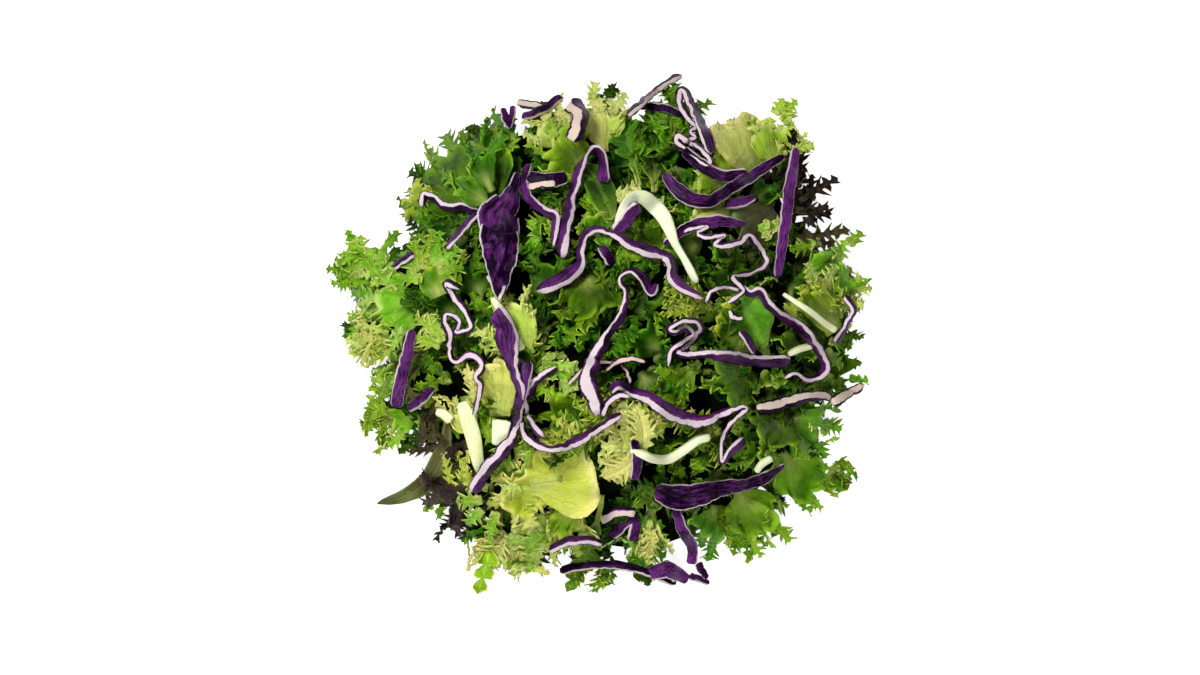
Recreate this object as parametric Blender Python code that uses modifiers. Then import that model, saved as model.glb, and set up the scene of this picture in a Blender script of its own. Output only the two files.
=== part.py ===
"""A loose heap of mixed salad leaves with shreds of red cabbage, as one solid.

Metres, +Z up. The heap rests on the flat underside of its core, at z = 0, and the origin is the middle of
its base. It was seen from straight above, so -Y is the lower edge of that view. Each leaf is a thin wavy
sheet that grows out of the core, and each shred is a strip that lies over the leaves.
"""

import math
from collections import namedtuple

import bmesh
import bpy
from mathutils import Matrix, Vector, noise

MM = 0.001

# The view from above: one pixel covers this much of the table, seen from this height
PIXEL = 0.4 * MM
VIEW_HEIGHT = 1.5
VIEW_CENTRE_PX = (600.0, 337.5)
ORIGIN_PX = (598.0, 334.0)

# The mound that the leaves lie on
HEAP_HALF_X = 105 * MM
HEAP_HALF_Y = 101 * MM
HEAP_HEIGHT = 64 * MM
HEAP_SQUARENESS = 2.5
HEAP_SHOULDER = 0.8

# The core inside the leaves, and how deep in it every leaf and shred is rooted
CORE_PLAN = 0.87
CORE_DEPTH = 7 * MM
CORE_SIDES = 26
CORE_RINGS = 12
ROOT_DEPTH = 4 * MM
SHRED_DIP_MM = 5
CORE_BUMP = 3.5 * MM
CORE_BUMP_SIZE = 26 * MM

LEAF_THICKNESS = 1.1 * MM
LEAF_ROWS = (0.0, 0.55, 1.0)
FLOOR_GAP = 0.9 * MM
GOLDEN_ANGLE = 2.39996
FIRST_PHASE = 0.87
# Shape shared by every leaf. The side lobes are shorter by SIDE_FALL, and the blade opens from STALK_FAN of
# its spread to all of it over FAN_LENGTH of its length. A wave is in radians over half the leaf's width.
SIDE_FALL = 0.42
WIDEST_SPREAD = 2.4
SPREAD_POWER = 1.1
STALK_FAN = 0.12
FAN_LENGTH = 0.35
STRAIGHT_STALK = 0.8
NOTCH_VARY = 0.35
NOTCH_WAVE = 4.7
CURL_WAVE = 8.2
# Radians that a leaf may roll about its spine, and the highest arch of the spine as a share of its length
MOST_ROLL = 0.3
ROLL_WAVE = 3
MOST_ARCH = 0.4
ARCH_POWER = 0.7
SHRED_END_TAPER = 0.55

LEAF_GREEN = (0.12, 0.30, 0.02)
LEAF_ROUGHNESS = 0.45
CABBAGE_PURPLE = (0.09, 0.01, 0.13)
CABBAGE_ROUGHNESS = 0.40

# What a kind of leaf looks like: lobes round the margin, depth of its notches, share of the length that is
# stalk, width of the stalk, how far the margin curls (radians), its ruffle and cup as shares of the length
LeafKind = namedtuple("LeafKind", "lobes notch stalk stalk_width curl curl_vary ruffle waves cup")
LEAF_KINDS = {
    "endive": LeafKind(4, 0.24, 0.12, 5 * MM, -0.5, 0.7, 0.09, 1.6, 0.10),
    "frisee": LeafKind(4, 0.32, 0.18, 4 * MM, -0.3, 0.8, 0.11, 1.9, 0.15),
    "pale": LeafKind(3, 0.30, 0.42, 4 * MM, -0.4, 0.7, 0.09, 1.6, 0.10),
    "small": LeafKind(3, 0.26, 0.12, 5 * MM, -0.5, 0.7, 0.09, 1.5, 0.10),
    "broad": LeafKind(3, 0.15, 0.08, 7 * MM, -0.5, 0.5, 0.08, 1.4, 0.10),
    "lettuce": LeafKind(3, 0.12, 0.05, 9 * MM, -0.5, 0.4, 0.06, 1.5, 0.12),
    "red": LeafKind(4, 0.26, 0.15, 5 * MM, -0.5, 0.6, 0.10, 1.7, 0.10),
    "strap": LeafKind(2, 0.10, 0.10, 5 * MM, -0.5, 0.3, 0.04, 1.0, 0.20),
    "rocket": LeafKind(3, 0.32, 0.35, 4 * MM, -0.3, 0.4, 0.05, 1.4, 0.10),
    "baby": LeafKind(2, 0.05, 0.08, 4 * MM, -0.4, 0.2, 0.02, 1.0, 0.15),
}

# Where a leaf lies: cut end and tip in pixels of the view, half width in pixels, and how far its tip
# stands over the mound in mm
Leaf = namedtuple("Leaf", "kind base tip half_width lift")
LEAVES = (
    # Left side
    Leaf("endive", (398, 278), (329, 256), 36, 2),
    Leaf("endive", (432, 300), (350, 313), 40, 3),
    Leaf("frisee", (462, 296), (425, 230), 38, 8),
    Leaf("small", (398, 330), (345, 358), 22, 2),
    Leaf("small", (408, 350), (376, 408), 18, 0),
    Leaf("small", (424, 406), (374, 441), 18, 1),
    Leaf("small", (484, 232), (402, 240), 26, 3),
    # Top left and top
    Leaf("endive", (494, 216), (432, 130), 58, 6),
    Leaf("endive", (512, 165), (482, 110), 30, 2),
    Leaf("pale", (575, 152), (520, 112), 20, 2),
    Leaf("endive", (594, 170), (526, 140), 36, 9),
    Leaf("pale", (604, 158), (591, 82), 22, 2),
    Leaf("rocket", (640, 190), (621, 112), 24, 7),
    Leaf("small", (672, 158), (676, 82), 20, 2),
    # Top right
    Leaf("lettuce", (748, 176), (730, 106), 30, 3),
    Leaf("lettuce", (772, 176), (788, 102), 28, 3),
    Leaf("small", (780, 200), (804, 133), 18, 1),
    Leaf("small", (776, 216), (842, 182), 26, 0),
    Leaf("small", (776, 258), (850, 236), 24, 0),
    Leaf("red", (752, 190), (742, 268), 32, 3),
    Leaf("lettuce", (672, 158), (728, 198), 22, 5),
    # Right side
    Leaf("frisee", (792, 312), (866, 290), 36, 5),
    Leaf("endive", (846, 344), (790, 286), 30, 6),
    Leaf("endive", (782, 300), (856, 386), 32, 1),
    Leaf("endive", (776, 412), (842, 442), 36, 2),
    Leaf("endive", (772, 450), (832, 512), 38, 1),
    # Bottom
    Leaf("endive", (728, 482), (776, 556), 36, 0),
    Leaf("pale", (648, 500), (650, 562), 12, 1),
    Leaf("rocket", (567, 592), (602, 490), 16, 5),
    Leaf("endive", (590, 488), (518, 566), 30, 2),
    Leaf("lettuce", (597, 480), (472, 516), 38, 6),
    Leaf("pale", (520, 530), (530, 588), 18, 0),
    # Bottom left
    Leaf("strap", (446, 424), (381, 503), 14, 1),
    Leaf("red", (476, 462), (430, 522), 30, 0),
    Leaf("small", (478, 496), (456, 550), 18, 0),
    Leaf("pale", (476, 494), (440, 368), 30, 7),
    Leaf("lettuce", (503, 416), (496, 340), 22, 4),
    # Middle
    Leaf("pale", (714, 437), (606, 432), 34, 5),
    Leaf("endive", (616, 262), (564, 338), 42, 8),
    Leaf("pale", (534, 354), (490, 284), 34, 5),
    Leaf("small", (526, 350), (580, 388), 20, 6),
    Leaf("frisee", (604, 446), (545, 394), 38, 2),
    Leaf("baby", (618, 236), (586, 162), 16, 5),
    Leaf("baby", (774, 366), (734, 294), 30, 4),
    Leaf("pale", (700, 286), (618, 206), 16, 7),
    Leaf("endive", (716, 356), (650, 396), 34, 5),
    # Between and under those
    Leaf("broad", (560, 262), (512, 196), 42, 3),
    Leaf("broad", (628, 268), (690, 218), 42, 3),
    Leaf("broad", (648, 468), (627, 580), 40, 0),
    Leaf("broad", (690, 462), (682, 566), 40, 0),
)

# A shred of red cabbage: the line it follows in pixels of the view, the width and the thickness of the
# strip in mm, how far it leans from lying flat in degrees, and its lift over the mound in mm
Shred = namedtuple("Shred", "route width thickness lean lift")
SHREDS = (
    Shred(((603, 180), (602, 158), (594, 149), (582, 165), (572, 200), (562, 255)), 5.5, 1.6, 50, 7),
    Shred(((517, 176), (510, 200), (501, 228), (499, 262), (501, 292)), 13.0, 1.5, 8, 7),
    Shred(((422, 206), (425, 194), (446, 206), (478, 211), (466, 226), (447, 249)), 5.0, 1.5, 60, 6),
    Shred(((459, 290), (447, 284), (468, 312), (462, 332), (447, 318), (453, 358), (478, 358), (475, 414)),
          4.5, 1.5, 62, 7),
    Shred(((411, 333), (407, 352), (402, 376), (396, 406)), 6.0, 1.6, 12, 3),
    Shred(((497, 310), (506, 336), (514, 366), (523, 395), (543, 436)), 5.5, 1.6, 50, 6),
    Shred(((527, 362), (524, 388), (517, 425), (500, 455), (473, 493)), 5.0, 2.0, -55, 6),
    Shred(((522, 424), (530, 439), (549, 449), (572, 443), (598, 429), (621, 414)), 5.0, 1.6, -60, 6),
    Shred(((535, 288), (562, 278), (580, 262), (584, 236), (598, 229), (629, 242), (664, 255), (673, 276),
           (702, 298)), 5.5, 1.7, 50, 7),
    Shred(((657, 284), (650, 293), (633, 271), (620, 279), (627, 303), (603, 343), (588, 382),
           (598, 412)), 5.5, 2.2, -50, 7),
    Shred(((611, 392), (620, 385), (650, 398), (700, 421), (746, 408), (724, 438), (721, 462),
           (745, 440)), 6.0, 1.8, 50, 7),
    Shred(((668, 366), (692, 334), (669, 328), (700, 324), (678, 353), (716, 354), (790, 361)),
          6.5, 2.2, -45, 6),
    Shred(((672, 247), (694, 228), (716, 240), (749, 236), (766, 264), (733, 278), (728, 304)),
          6.0, 1.6, 45, 4),
    Shred(((744, 287), (762, 292), (769, 304), (797, 325), (820, 352), (825, 368), (806, 380),
           (786, 377)), 6.0, 2.2, 50, 6),
    Shred(((795, 150), (790, 180), (786, 214), (777, 276)), 6.0, 1.6, 12, 9),
    Shred(((710, 150), (696, 116), (683, 90), (681, 106), (696, 127), (688, 141), (711, 154)),
          5.0, 1.5, 62, 6),
    Shred(((666, 176), (678, 190), (709, 200), (748, 177), (782, 157)), 6.0, 1.6, 25, 4),
    Shred(((679, 77), (650, 96), (634, 109), (622, 126)), 4.0, 1.8, 45, 1),
    Shred(((550, 550), (567, 541), (599, 543)), 4.0, 1.6, 30, 1),
    Shred(((560, 571), (580, 566), (612, 565), (640, 570), (674, 581)), 5.0, 1.8, 60, -1),
    Shred(((658, 492), (684, 495), (706, 491), (734, 488), (780, 467)), 9.0, 2.0, 15, 2),
    Shred(((757, 408), (802, 398), (832, 403), (861, 387)), 6.0, 2.0, 35, 4),
)


def smooth_step(low, high, value):
    share = min(max((value - low) / (high - low), 0.0), 1.0)
    return share * share * (3 - 2 * share)


def mound(x, y, plan=1.0):
    """Height of the mound over the table at a point, for its own plan or one scaled by plan."""
    reach = (abs(x / (HEAP_HALF_X * plan)) ** HEAP_SQUARENESS
             + abs(y / (HEAP_HALF_Y * plan)) ** HEAP_SQUARENESS) ** (1 / HEAP_SQUARENESS)
    return HEAP_HEIGHT * math.cos(min(reach, 1.0) * math.pi / 2) ** HEAP_SHOULDER


def core_top(x, y):
    """Height of the core's upper side without its bumps, below the table outside the core."""
    return mound(x, y, CORE_PLAN) - CORE_DEPTH


def rooted(point):
    """The point moved straight down into the core, or onto the table beside it."""
    low = core_top(point.x, point.y) - ROOT_DEPTH
    return Vector((point.x, point.y, max(min(point.z, low), FLOOR_GAP)))


def spot(pixel, lift_mm):
    """The point over the mound, at this lift, that the view from above shows at a pixel."""
    z = 0.0
    for _ in range(4):
        scale = PIXEL * (1 - z / VIEW_HEIGHT)
        x = (VIEW_CENTRE_PX[0] - ORIGIN_PX[0]) * PIXEL + (pixel[0] - VIEW_CENTRE_PX[0]) * scale
        y = (ORIGIN_PX[1] - VIEW_CENTRE_PX[1]) * PIXEL + (VIEW_CENTRE_PX[1] - pixel[1]) * scale
        z = max(mound(x, y) + lift_mm * MM, FLOOR_GAP)
    return Vector((x, y, z))


def leaf_point(kind, length, half_width, phase, u, v):
    """A point of a leaf: u runs from the cut end to the margin and v across, from -1 to 1. The leaf lies
    along +X from the origin, with its upper face to +Z."""
    spread = min((2 * half_width / length) ** SPREAD_POWER, WIDEST_SPREAD)
    notch = math.cos(math.pi * kind.lobes * (v + 1) / 2) ** 2
    depth = kind.notch * (1 + NOTCH_VARY * math.sin(NOTCH_WAVE * v + phase))
    reach = length * (1 - SIDE_FALL * abs(v) ** 3) * (1 - depth * notch)
    opening = STALK_FAN + (1 - STALK_FAN) * smooth_step(kind.stalk, kind.stalk + FAN_LENGTH, u)
    angle = spread * v * opening
    stalk = kind.stalk * length * STRAIGHT_STALK
    curl = (kind.curl + kind.curl_vary * math.sin(CURL_WAVE * v + phase)) / length
    if abs(curl) < 1.0:
        curl = 1.0
    run = max(u * reach - stalk, 0.0)
    along = min(u * reach, stalk) + math.sin(curl * run) / curl
    x = along * math.cos(angle)
    y = along * math.sin(angle) + v * kind.stalk_width / 2 * (1 - u)
    z = (1 - math.cos(curl * run)) / curl
    z += kind.ruffle * length * u * u * math.sin(math.pi * kind.waves * v + phase)
    z += kind.cup * y * y / length
    return Vector((x, y, z))


def laid_leaf_point(leaf, kind, phase, u, v):
    """The same point with the leaf laid over the mound: its spine arches from the cut end to the tip."""
    base = rooted(spot(leaf.base, 0))
    tip = spot(leaf.tip, leaf.lift)
    along = tip - base
    length = along.length
    along.normalize()
    roll = Matrix.Rotation(MOST_ROLL * math.sin(ROLL_WAVE * phase), 3, along)
    side = roll @ Vector((0, 0, 1)).cross(along).normalized()
    up = along.cross(side)
    middle = (base + tip) / 2
    crest = mound(middle.x, middle.y) + max(leaf.lift, 2) * MM - middle.z
    arch = min(max(crest, 0.0), MOST_ARCH * length)
    p = leaf_point(kind, length, leaf.half_width * PIXEL, phase, u, v)
    share = min(max(p.x / length, 0.0), 1.0) ** ARCH_POWER
    point = base + along * p.x + side * p.y + up * (p.z + 4 * arch * share * (1 - share))
    point.z = max(point.z, FLOOR_GAP)
    return point


def new_object(name, mesh_builder, material, collection):
    """An object from a bmesh, linked to the collection. The bmesh is freed."""
    mesh = bpy.data.meshes.new(name)
    mesh_builder.to_mesh(mesh)
    mesh_builder.free()
    mesh.materials.append(material)
    made = bpy.data.objects.new(name, mesh)
    collection.objects.link(made)
    return made


def add_solidify(made, thickness):
    solidify = made.modifiers.new("Thickness", "SOLIDIFY")
    solidify.thickness = thickness
    solidify.offset = 0.0


def sheet(columns, rows, place):
    """A triangulated sheet from a grid, each point put where place(row, column) says."""
    bm = bmesh.new()
    bmesh.ops.create_grid(bm, x_segments=columns, y_segments=rows, size=0.5)
    for vertex in bm.verts:
        column = round((vertex.co.x + 0.5) * columns)
        row = round((vertex.co.y + 0.5) * rows)
        vertex.co = place(row, column)
    bmesh.ops.triangulate(bm, faces=bm.faces[:])
    return bm


def make_leaf(number, leaf, material, collection):
    """One thin wavy leaf. A column of the sheet runs to each lobe's tip and to each notch."""
    kind = LEAF_KINDS[leaf.kind]
    phase = FIRST_PHASE + number * GOLDEN_ANGLE
    columns = 2 * kind.lobes

    def place(row, column):
        return laid_leaf_point(leaf, kind, phase, LEAF_ROWS[row], 2 * column / columns - 1)

    made = new_object(f"leaf_{number}", sheet(columns, len(LEAF_ROWS) - 1, place), material, collection)
    add_solidify(made, LEAF_THICKNESS)


def make_shred(number, shred, material, collection):
    """One strip of cabbage that follows its route, leaning on one long edge and narrower at its ends."""
    lifts = [shred.lift - SHRED_DIP_MM, *[shred.lift] * (len(shred.route) - 2), shred.lift - SHRED_DIP_MM]
    route = [spot(pixel, lift) for pixel, lift in zip(shred.route, lifts)]
    last = len(route) - 1
    lean = math.radians(shred.lean)

    def place(row, column):
        ahead = route[min(column + 1, last)] - route[max(column - 1, 0)]
        side = Vector((0, 0, 1)).cross(ahead).normalized()
        across = side * math.cos(lean) + Vector((0, 0, 1)) * math.sin(lean)
        end_taper = SHRED_END_TAPER if column in (0, last) else 1.0
        point = route[column] + across * (row - 0.5) * shred.width * MM * end_taper
        point.z = max(point.z, FLOOR_GAP)
        return point

    made = new_object(f"shred_{number}", sheet(last, 1, place), material, collection)
    add_solidify(made, shred.thickness * MM)


def make_core(material, collection):
    """The uneven dome inside the leaves, cut flat where it rests."""
    bm = bmesh.new()
    bmesh.ops.create_uvsphere(bm, u_segments=CORE_SIDES, v_segments=CORE_RINGS, radius=1.0)
    for vertex in bm.verts:
        angle = math.atan2(vertex.co.y, vertex.co.x)
        # Equal steps down the sphere become equal steps over the mound. Its lower half goes below the cut
        reach = min(math.acos(min(max(vertex.co.z, -1.0), 1.0)) / (math.pi / 2), 1.0)
        squared = abs(math.cos(angle)) ** HEAP_SQUARENESS + abs(math.sin(angle)) ** HEAP_SQUARENESS
        reach /= squared ** (1 / HEAP_SQUARENESS)
        x = reach * math.cos(angle) * HEAP_HALF_X * CORE_PLAN
        y = reach * math.sin(angle) * HEAP_HALF_Y * CORE_PLAN
        bump = CORE_BUMP * noise.noise(Vector((x, y, 0)) / CORE_BUMP_SIZE)
        z = core_top(x, y) + bump
        vertex.co = Vector((x, y, z if vertex.co.z > -0.01 else -2 * CORE_DEPTH))
    everything = bm.verts[:] + bm.edges[:] + bm.faces[:]
    cut = bmesh.ops.bisect_plane(bm, geom=everything, plane_co=(0, 0, 0), plane_no=(0, 0, -1),
                                 clear_outer=True)
    rim = [e for e in cut["geom_cut"] if isinstance(e, bmesh.types.BMEdge)]
    bmesh.ops.contextual_create(bm, geom=rim)
    bmesh.ops.recalc_face_normals(bm, faces=bm.faces[:])
    return new_object("salad_heap", bm, material, collection)


def fuse(core, pieces):
    """Joins the leaves and shreds to the core, and removes them."""
    union = core.modifiers.new("Fuse", "BOOLEAN")
    union.operation = "UNION"
    union.operand_type = "COLLECTION"
    union.collection = pieces
    union.solver = "MANIFOLD"
    bpy.context.view_layer.update()
    fused = bpy.data.meshes.new_from_object(core.evaluated_get(bpy.context.evaluated_depsgraph_get()))
    core.modifiers.remove(union)
    core.data = fused
    for piece in list(pieces.objects):
        bpy.data.objects.remove(piece)
    bpy.data.collections.remove(pieces)


def islands(bm):
    """The separate shells of a bmesh, as lists of faces."""
    left = set(bm.faces)
    while left:
        shell, edge_of_search = [], [left.pop()]
        while edge_of_search:
            face = edge_of_search.pop()
            shell.append(face)
            for edge in face.edges:
                for other in edge.link_faces:
                    if other in left:
                        left.discard(other)
                        edge_of_search.append(other)
        yield shell


def keep_one_shell(made):
    """Drops loose scraps and the shells of sealed hollows, so that the heap is one solid body."""
    bm = bmesh.new()
    bm.from_mesh(made.data)
    shells = sorted(islands(bm), key=len)
    for shell in shells[:-1]:
        bmesh.ops.delete(bm, geom=shell, context="FACES")
    bm.to_mesh(made.data)
    bm.free()


def make_material(name, colour, roughness):
    material = bpy.data.materials.new(name)
    material.use_nodes = True
    shader = material.node_tree.nodes["Principled BSDF"]
    shader.inputs["Base Color"].default_value = (*colour, 1.0)
    shader.inputs["Roughness"].default_value = roughness
    return material


def main():
    for old in list(bpy.data.objects):
        bpy.data.objects.remove(old)
    heap = bpy.data.collections.new("Salad heap")
    pieces = bpy.data.collections.new("Pieces to fuse")
    for collection in (heap, pieces):
        bpy.context.scene.collection.children.link(collection)
    green = make_material("leaf_green", LEAF_GREEN, LEAF_ROUGHNESS)
    purple = make_material("cabbage_purple", CABBAGE_PURPLE, CABBAGE_ROUGHNESS)
    for number, leaf in enumerate(LEAVES):
        make_leaf(number, leaf, green, pieces)
    for number, shred in enumerate(SHREDS):
        make_shred(number, shred, purple, pieces)
    core = make_core(green, heap)
    fuse(core, pieces)
    keep_one_shell(core)


main()
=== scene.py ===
"""Looks of a heap of mixed salad leaves with red cabbage shreds: leaves, ribs, shreds, core and stage."""

import math
from typing import NamedTuple

import bmesh
import bpy
import numpy as np
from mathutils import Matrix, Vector
from mathutils.bvhtree import BVHTree


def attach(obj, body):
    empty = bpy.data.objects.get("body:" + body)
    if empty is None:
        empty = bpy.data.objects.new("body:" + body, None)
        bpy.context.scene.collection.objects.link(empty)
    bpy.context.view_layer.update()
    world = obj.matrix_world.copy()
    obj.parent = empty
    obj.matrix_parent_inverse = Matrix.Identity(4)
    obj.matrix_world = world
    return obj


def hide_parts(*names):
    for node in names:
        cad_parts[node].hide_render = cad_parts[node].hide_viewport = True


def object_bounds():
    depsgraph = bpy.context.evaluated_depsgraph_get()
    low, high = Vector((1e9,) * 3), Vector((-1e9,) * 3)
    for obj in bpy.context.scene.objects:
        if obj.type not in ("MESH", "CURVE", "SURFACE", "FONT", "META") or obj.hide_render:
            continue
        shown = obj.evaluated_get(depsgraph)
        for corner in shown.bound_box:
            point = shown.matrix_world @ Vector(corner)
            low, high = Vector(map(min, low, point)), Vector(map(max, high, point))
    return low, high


bl_info = {
    "name": "Salad heap",
    "version": (1, 0, 0),
    "blender": (4, 5, 0),
    "location": "View3D > Sidebar > Salad",
    "description": "Builds a heap of mixed salad leaves with red cabbage shreds over its CAD solid",
    "category": "Add Mesh",
}

NODE = "salad_heap"
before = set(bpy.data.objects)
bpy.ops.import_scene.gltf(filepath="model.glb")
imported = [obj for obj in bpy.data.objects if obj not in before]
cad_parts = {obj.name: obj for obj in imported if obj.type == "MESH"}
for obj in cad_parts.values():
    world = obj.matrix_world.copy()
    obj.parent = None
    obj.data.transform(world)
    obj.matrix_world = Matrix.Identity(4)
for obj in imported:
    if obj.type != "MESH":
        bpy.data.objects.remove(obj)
CAD_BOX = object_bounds()

MM = 0.001
# The photograph looks straight down from VIEW_HEIGHT, and a pixel of it is this wide on the surface.
PIXEL = 0.4 * MM
VIEW_HEIGHT = 1.5
VIEW_CENTRE_PX = (600.0, 337.5)
ORIGIN_PX = (598.0, 334.0)
FRAME_PX = 1200
SENSOR_MM = 36.0
UP = np.array((0.0, 0.0, 1.0))

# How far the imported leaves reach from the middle, every 15 degrees from +X towards +Y, in photo pixels.
OUTLINE_PX = (246, 260, 250, 268, 256, 248, 240, 238, 248, 256, 226, 258,
              248, 228, 210, 244, 244, 236, 238, 250, 250, 252, 260, 250)
# The heap's side is a cosine to this power: below 1 it has a fuller shoulder.
SHOULDER = 0.8
# Leaves stay this far over the surface, and bend up from it over this distance.
FLOOR_GAP = 0.3 * MM
FLOOR_SOFTNESS = 0.8 * MM
# Room that stays free under the top of the CAD box.
TOP_GAP = 0.5 * MM
MOST_TRIANGLES = 195000

# How far leaves lean sideways and lengthwise off the heap, as typical slopes.
ROLL = 0.26
PITCH = 0.12
CRUMPLES = 5
CRUMPLE_SLOPE = 0.028
# Random starts of waves are drawn from 0 to this, a full turn.
ANY_PHASE = 6.3
GOLDEN_ANGLE = 2.39996

# The dark core of painted shade, near-black where the packed heap lies in shade: its reach, as a share of the
# imported leaves', its underside and its lumps.
CORE_REACH = 0.88
CORE_UNDERSIDE = 1.0 * MM
CORE_LEAST_HEIGHT = 2.0 * MM
CORE_LUMP = 2.5 * MM

# Points across a strip's face, and the shares of its thickness where its cut edge has points.
FACE_POINTS = 7
CUT_SHARES = (0.72, 0.0, -0.72)
# Distance between a strip's sections, and the fewest and most of them.
SECTION_PX = 1.6
SECTIONS = (16, 150)
# How far a shred's route wanders sideways.
CRINKLE_PX = 0.7
# A strip's thickness and width over those read from the photograph, fitted so that the render shows the same.
CUT_SPREAD = 1.06
WIDTH_SPREAD = 0.95
# Sections to either side over which a strip keeps the highest leaf's height, and how softly it leaves it.
BRIDGED = 8
REST_BLUR = 30
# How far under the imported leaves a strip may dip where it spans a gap.
DEEPEST_DIP = 4.0 * MM
# Typical height of the leaves, for a first guess of where a pixel lies.
GUESSED_HEIGHT = 0.05
# A strip's own lift counts by the first share, and the half width of one on edge by the second.
LIFT_SHARE = 0.25
STANDING_SHARE = 0.72
# A strip this narrow has no lengthwise crease, and one this wide has all of it.
CREASED_WIDTHS = (14.0 * PIXEL, 30.0 * PIXEL)
RAY_START = 0.2
# The pieces that strips rest on.
LEAF_PIECES = ("endive_leaves", "clear_lobes", "frisee_leaves", "curly_fronds", "lettuce_leaves",
               "red_leaves", "rocket_leaves", "middle_leaves", "leaf_sprigs")

# One lobe's edge from a notch to the next: place along the margin and reach out of the notch, in lobe sizes.
BLADE_LOBE = ((-0.50, 0.00), (-0.36, 0.50), (-0.14, 0.90), (0.05, 1.00), (0.22, 0.84), (0.38, 0.42))
TOOTH_LOBE = ((-0.50, 0.00), (-0.34, 0.10), (-0.10, 0.50), (0.42, 1.12), (0.30, 0.46), (0.26, 0.04))
SMOOTH_LOBE = (
    (-0.50, 0.00), (-0.375, 0.45), (-0.25, 0.78), (-0.125, 0.95), (0.0, 1.00), (0.125, 0.95), (0.25, 0.78),
    (0.375, 0.45),
)


class Cut(NamedTuple):
    """How one sort of leaf is cut and waved.

    Feathered leaves have lobes either side of a midrib, and the others fan out from their foot. The stalk is
    a share of the leaf's length. The ruffle is the height of the margin's waves, a share of the half width,
    the cup bends the sides up, and the curl lifts each lobe by a share of its size. Side lobes are small
    toothed lobes that stand on the margin: their length, and their half width as a share of it.
    """

    feathered: bool
    lobe_px: float
    edge: tuple
    lobe_reach_px: float
    stalk: float
    stalk_mm: float
    ruffle: float
    waves: float
    cup: float
    curl: float
    thickness_mm: float
    side_lobe_px: float = 0.0
    side_lobe_half: float = 0.3


CUTS = {
    "endive": Cut(False, 13.0, BLADE_LOBE, 8.0, 0.10, 3.2, 0.19, 2.1, 0.10, 0.25, 0.42, 23.0, 0.34),
    "oak": Cut(True, 12.0, BLADE_LOBE, 7.0, 0.08, 2.6, 0.20, 1.6, 0.18, 0.25, 0.42, 17.0, 0.34),
    "finger": Cut(False, 11.0, BLADE_LOBE, 9.0, 0.12, 3.0, 0.17, 2.1, 0.10, 0.25, 0.45, 25.0, 0.26),
    "frisee": Cut(False, 8.5, BLADE_LOBE, 9.0, 0.16, 3.0, 0.22, 2.4, 0.12, 0.25, 0.40, 25.0, 0.24),
    "lettuce": Cut(False, 10.0, BLADE_LOBE, 5.0, 0.05, 8.0, 0.14, 2.5, 0.12, 0.25, 0.45, 12.0, 0.38),
    "red": Cut(False, 12.0, BLADE_LOBE, 9.0, 0.12, 3.0, 0.22, 2.0, 0.10, 0.25, 0.42, 20.0, 0.32),
    "rocket": Cut(True, 14.0, SMOOTH_LOBE, 14.0, 0.22, 2.0, 0.12, 2.0, 0.25, 0.20, 0.40),
    "frond": Cut(True, 7.0, TOOTH_LOBE, 12.0, 0.08, 1.3, 0.20, 1.8, 0.20, 0.45, 0.40),
    "round": Cut(False, 60.0, SMOOTH_LOBE, 0.8, 0.0, 9.0, 0.06, 1.4, 0.10, 0.06, 0.45),
    "spiky": Cut(True, 9.0, TOOTH_LOBE, 12.0, 0.08, 2.0, 0.22, 1.6, 0.20, 0.40, 0.42),
    "lobe": Cut(True, 6.0, TOOTH_LOBE, 8.0, 0.04, 3.4, 0.16, 0.9, 0.15, 0.30, 0.42),
    "plain": Cut(False, 11.0, BLADE_LOBE, 8.0, 0.10, 2.6, 0.22, 2.0, 0.10, 0.30, 0.42, 17.0, 0.30),
    "plain_oak": Cut(True, 11.0, BLADE_LOBE, 7.0, 0.08, 2.2, 0.22, 1.8, 0.18, 0.30, 0.42, 14.0, 0.30),
    "strap": Cut(True, 60.0, SMOOTH_LOBE, 1.0, 0.04, 3.0, 0.08, 1.1, 0.60, 0.06, 0.55),
    "baby": Cut(True, 60.0, SMOOTH_LOBE, 1.0, 0.16, 1.8, 0.06, 1.3, 0.30, 0.08, 0.45),
}


class Form(NamedTuple):
    """A leaf's middle surface in its own frame, as grids, and the sites on its margin where lobes stand."""

    points: np.ndarray
    leaf_map: np.ndarray
    pale: np.ndarray
    midrib: np.ndarray
    sites: tuple


class Leaf(NamedTuple):
    """A leaf: the photo pixels of its foot and tip, and how it lies and is coloured. Its shade sets its tone;
    leaves sunk low between others have darker shades, painted shade.
    """

    cut: str
    foot: tuple
    tip: tuple
    half_px: float
    shade: float
    lift_mm: float = 0.0
    foot_mm: float = -9.0
    bow_px: float = 0.0


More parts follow.
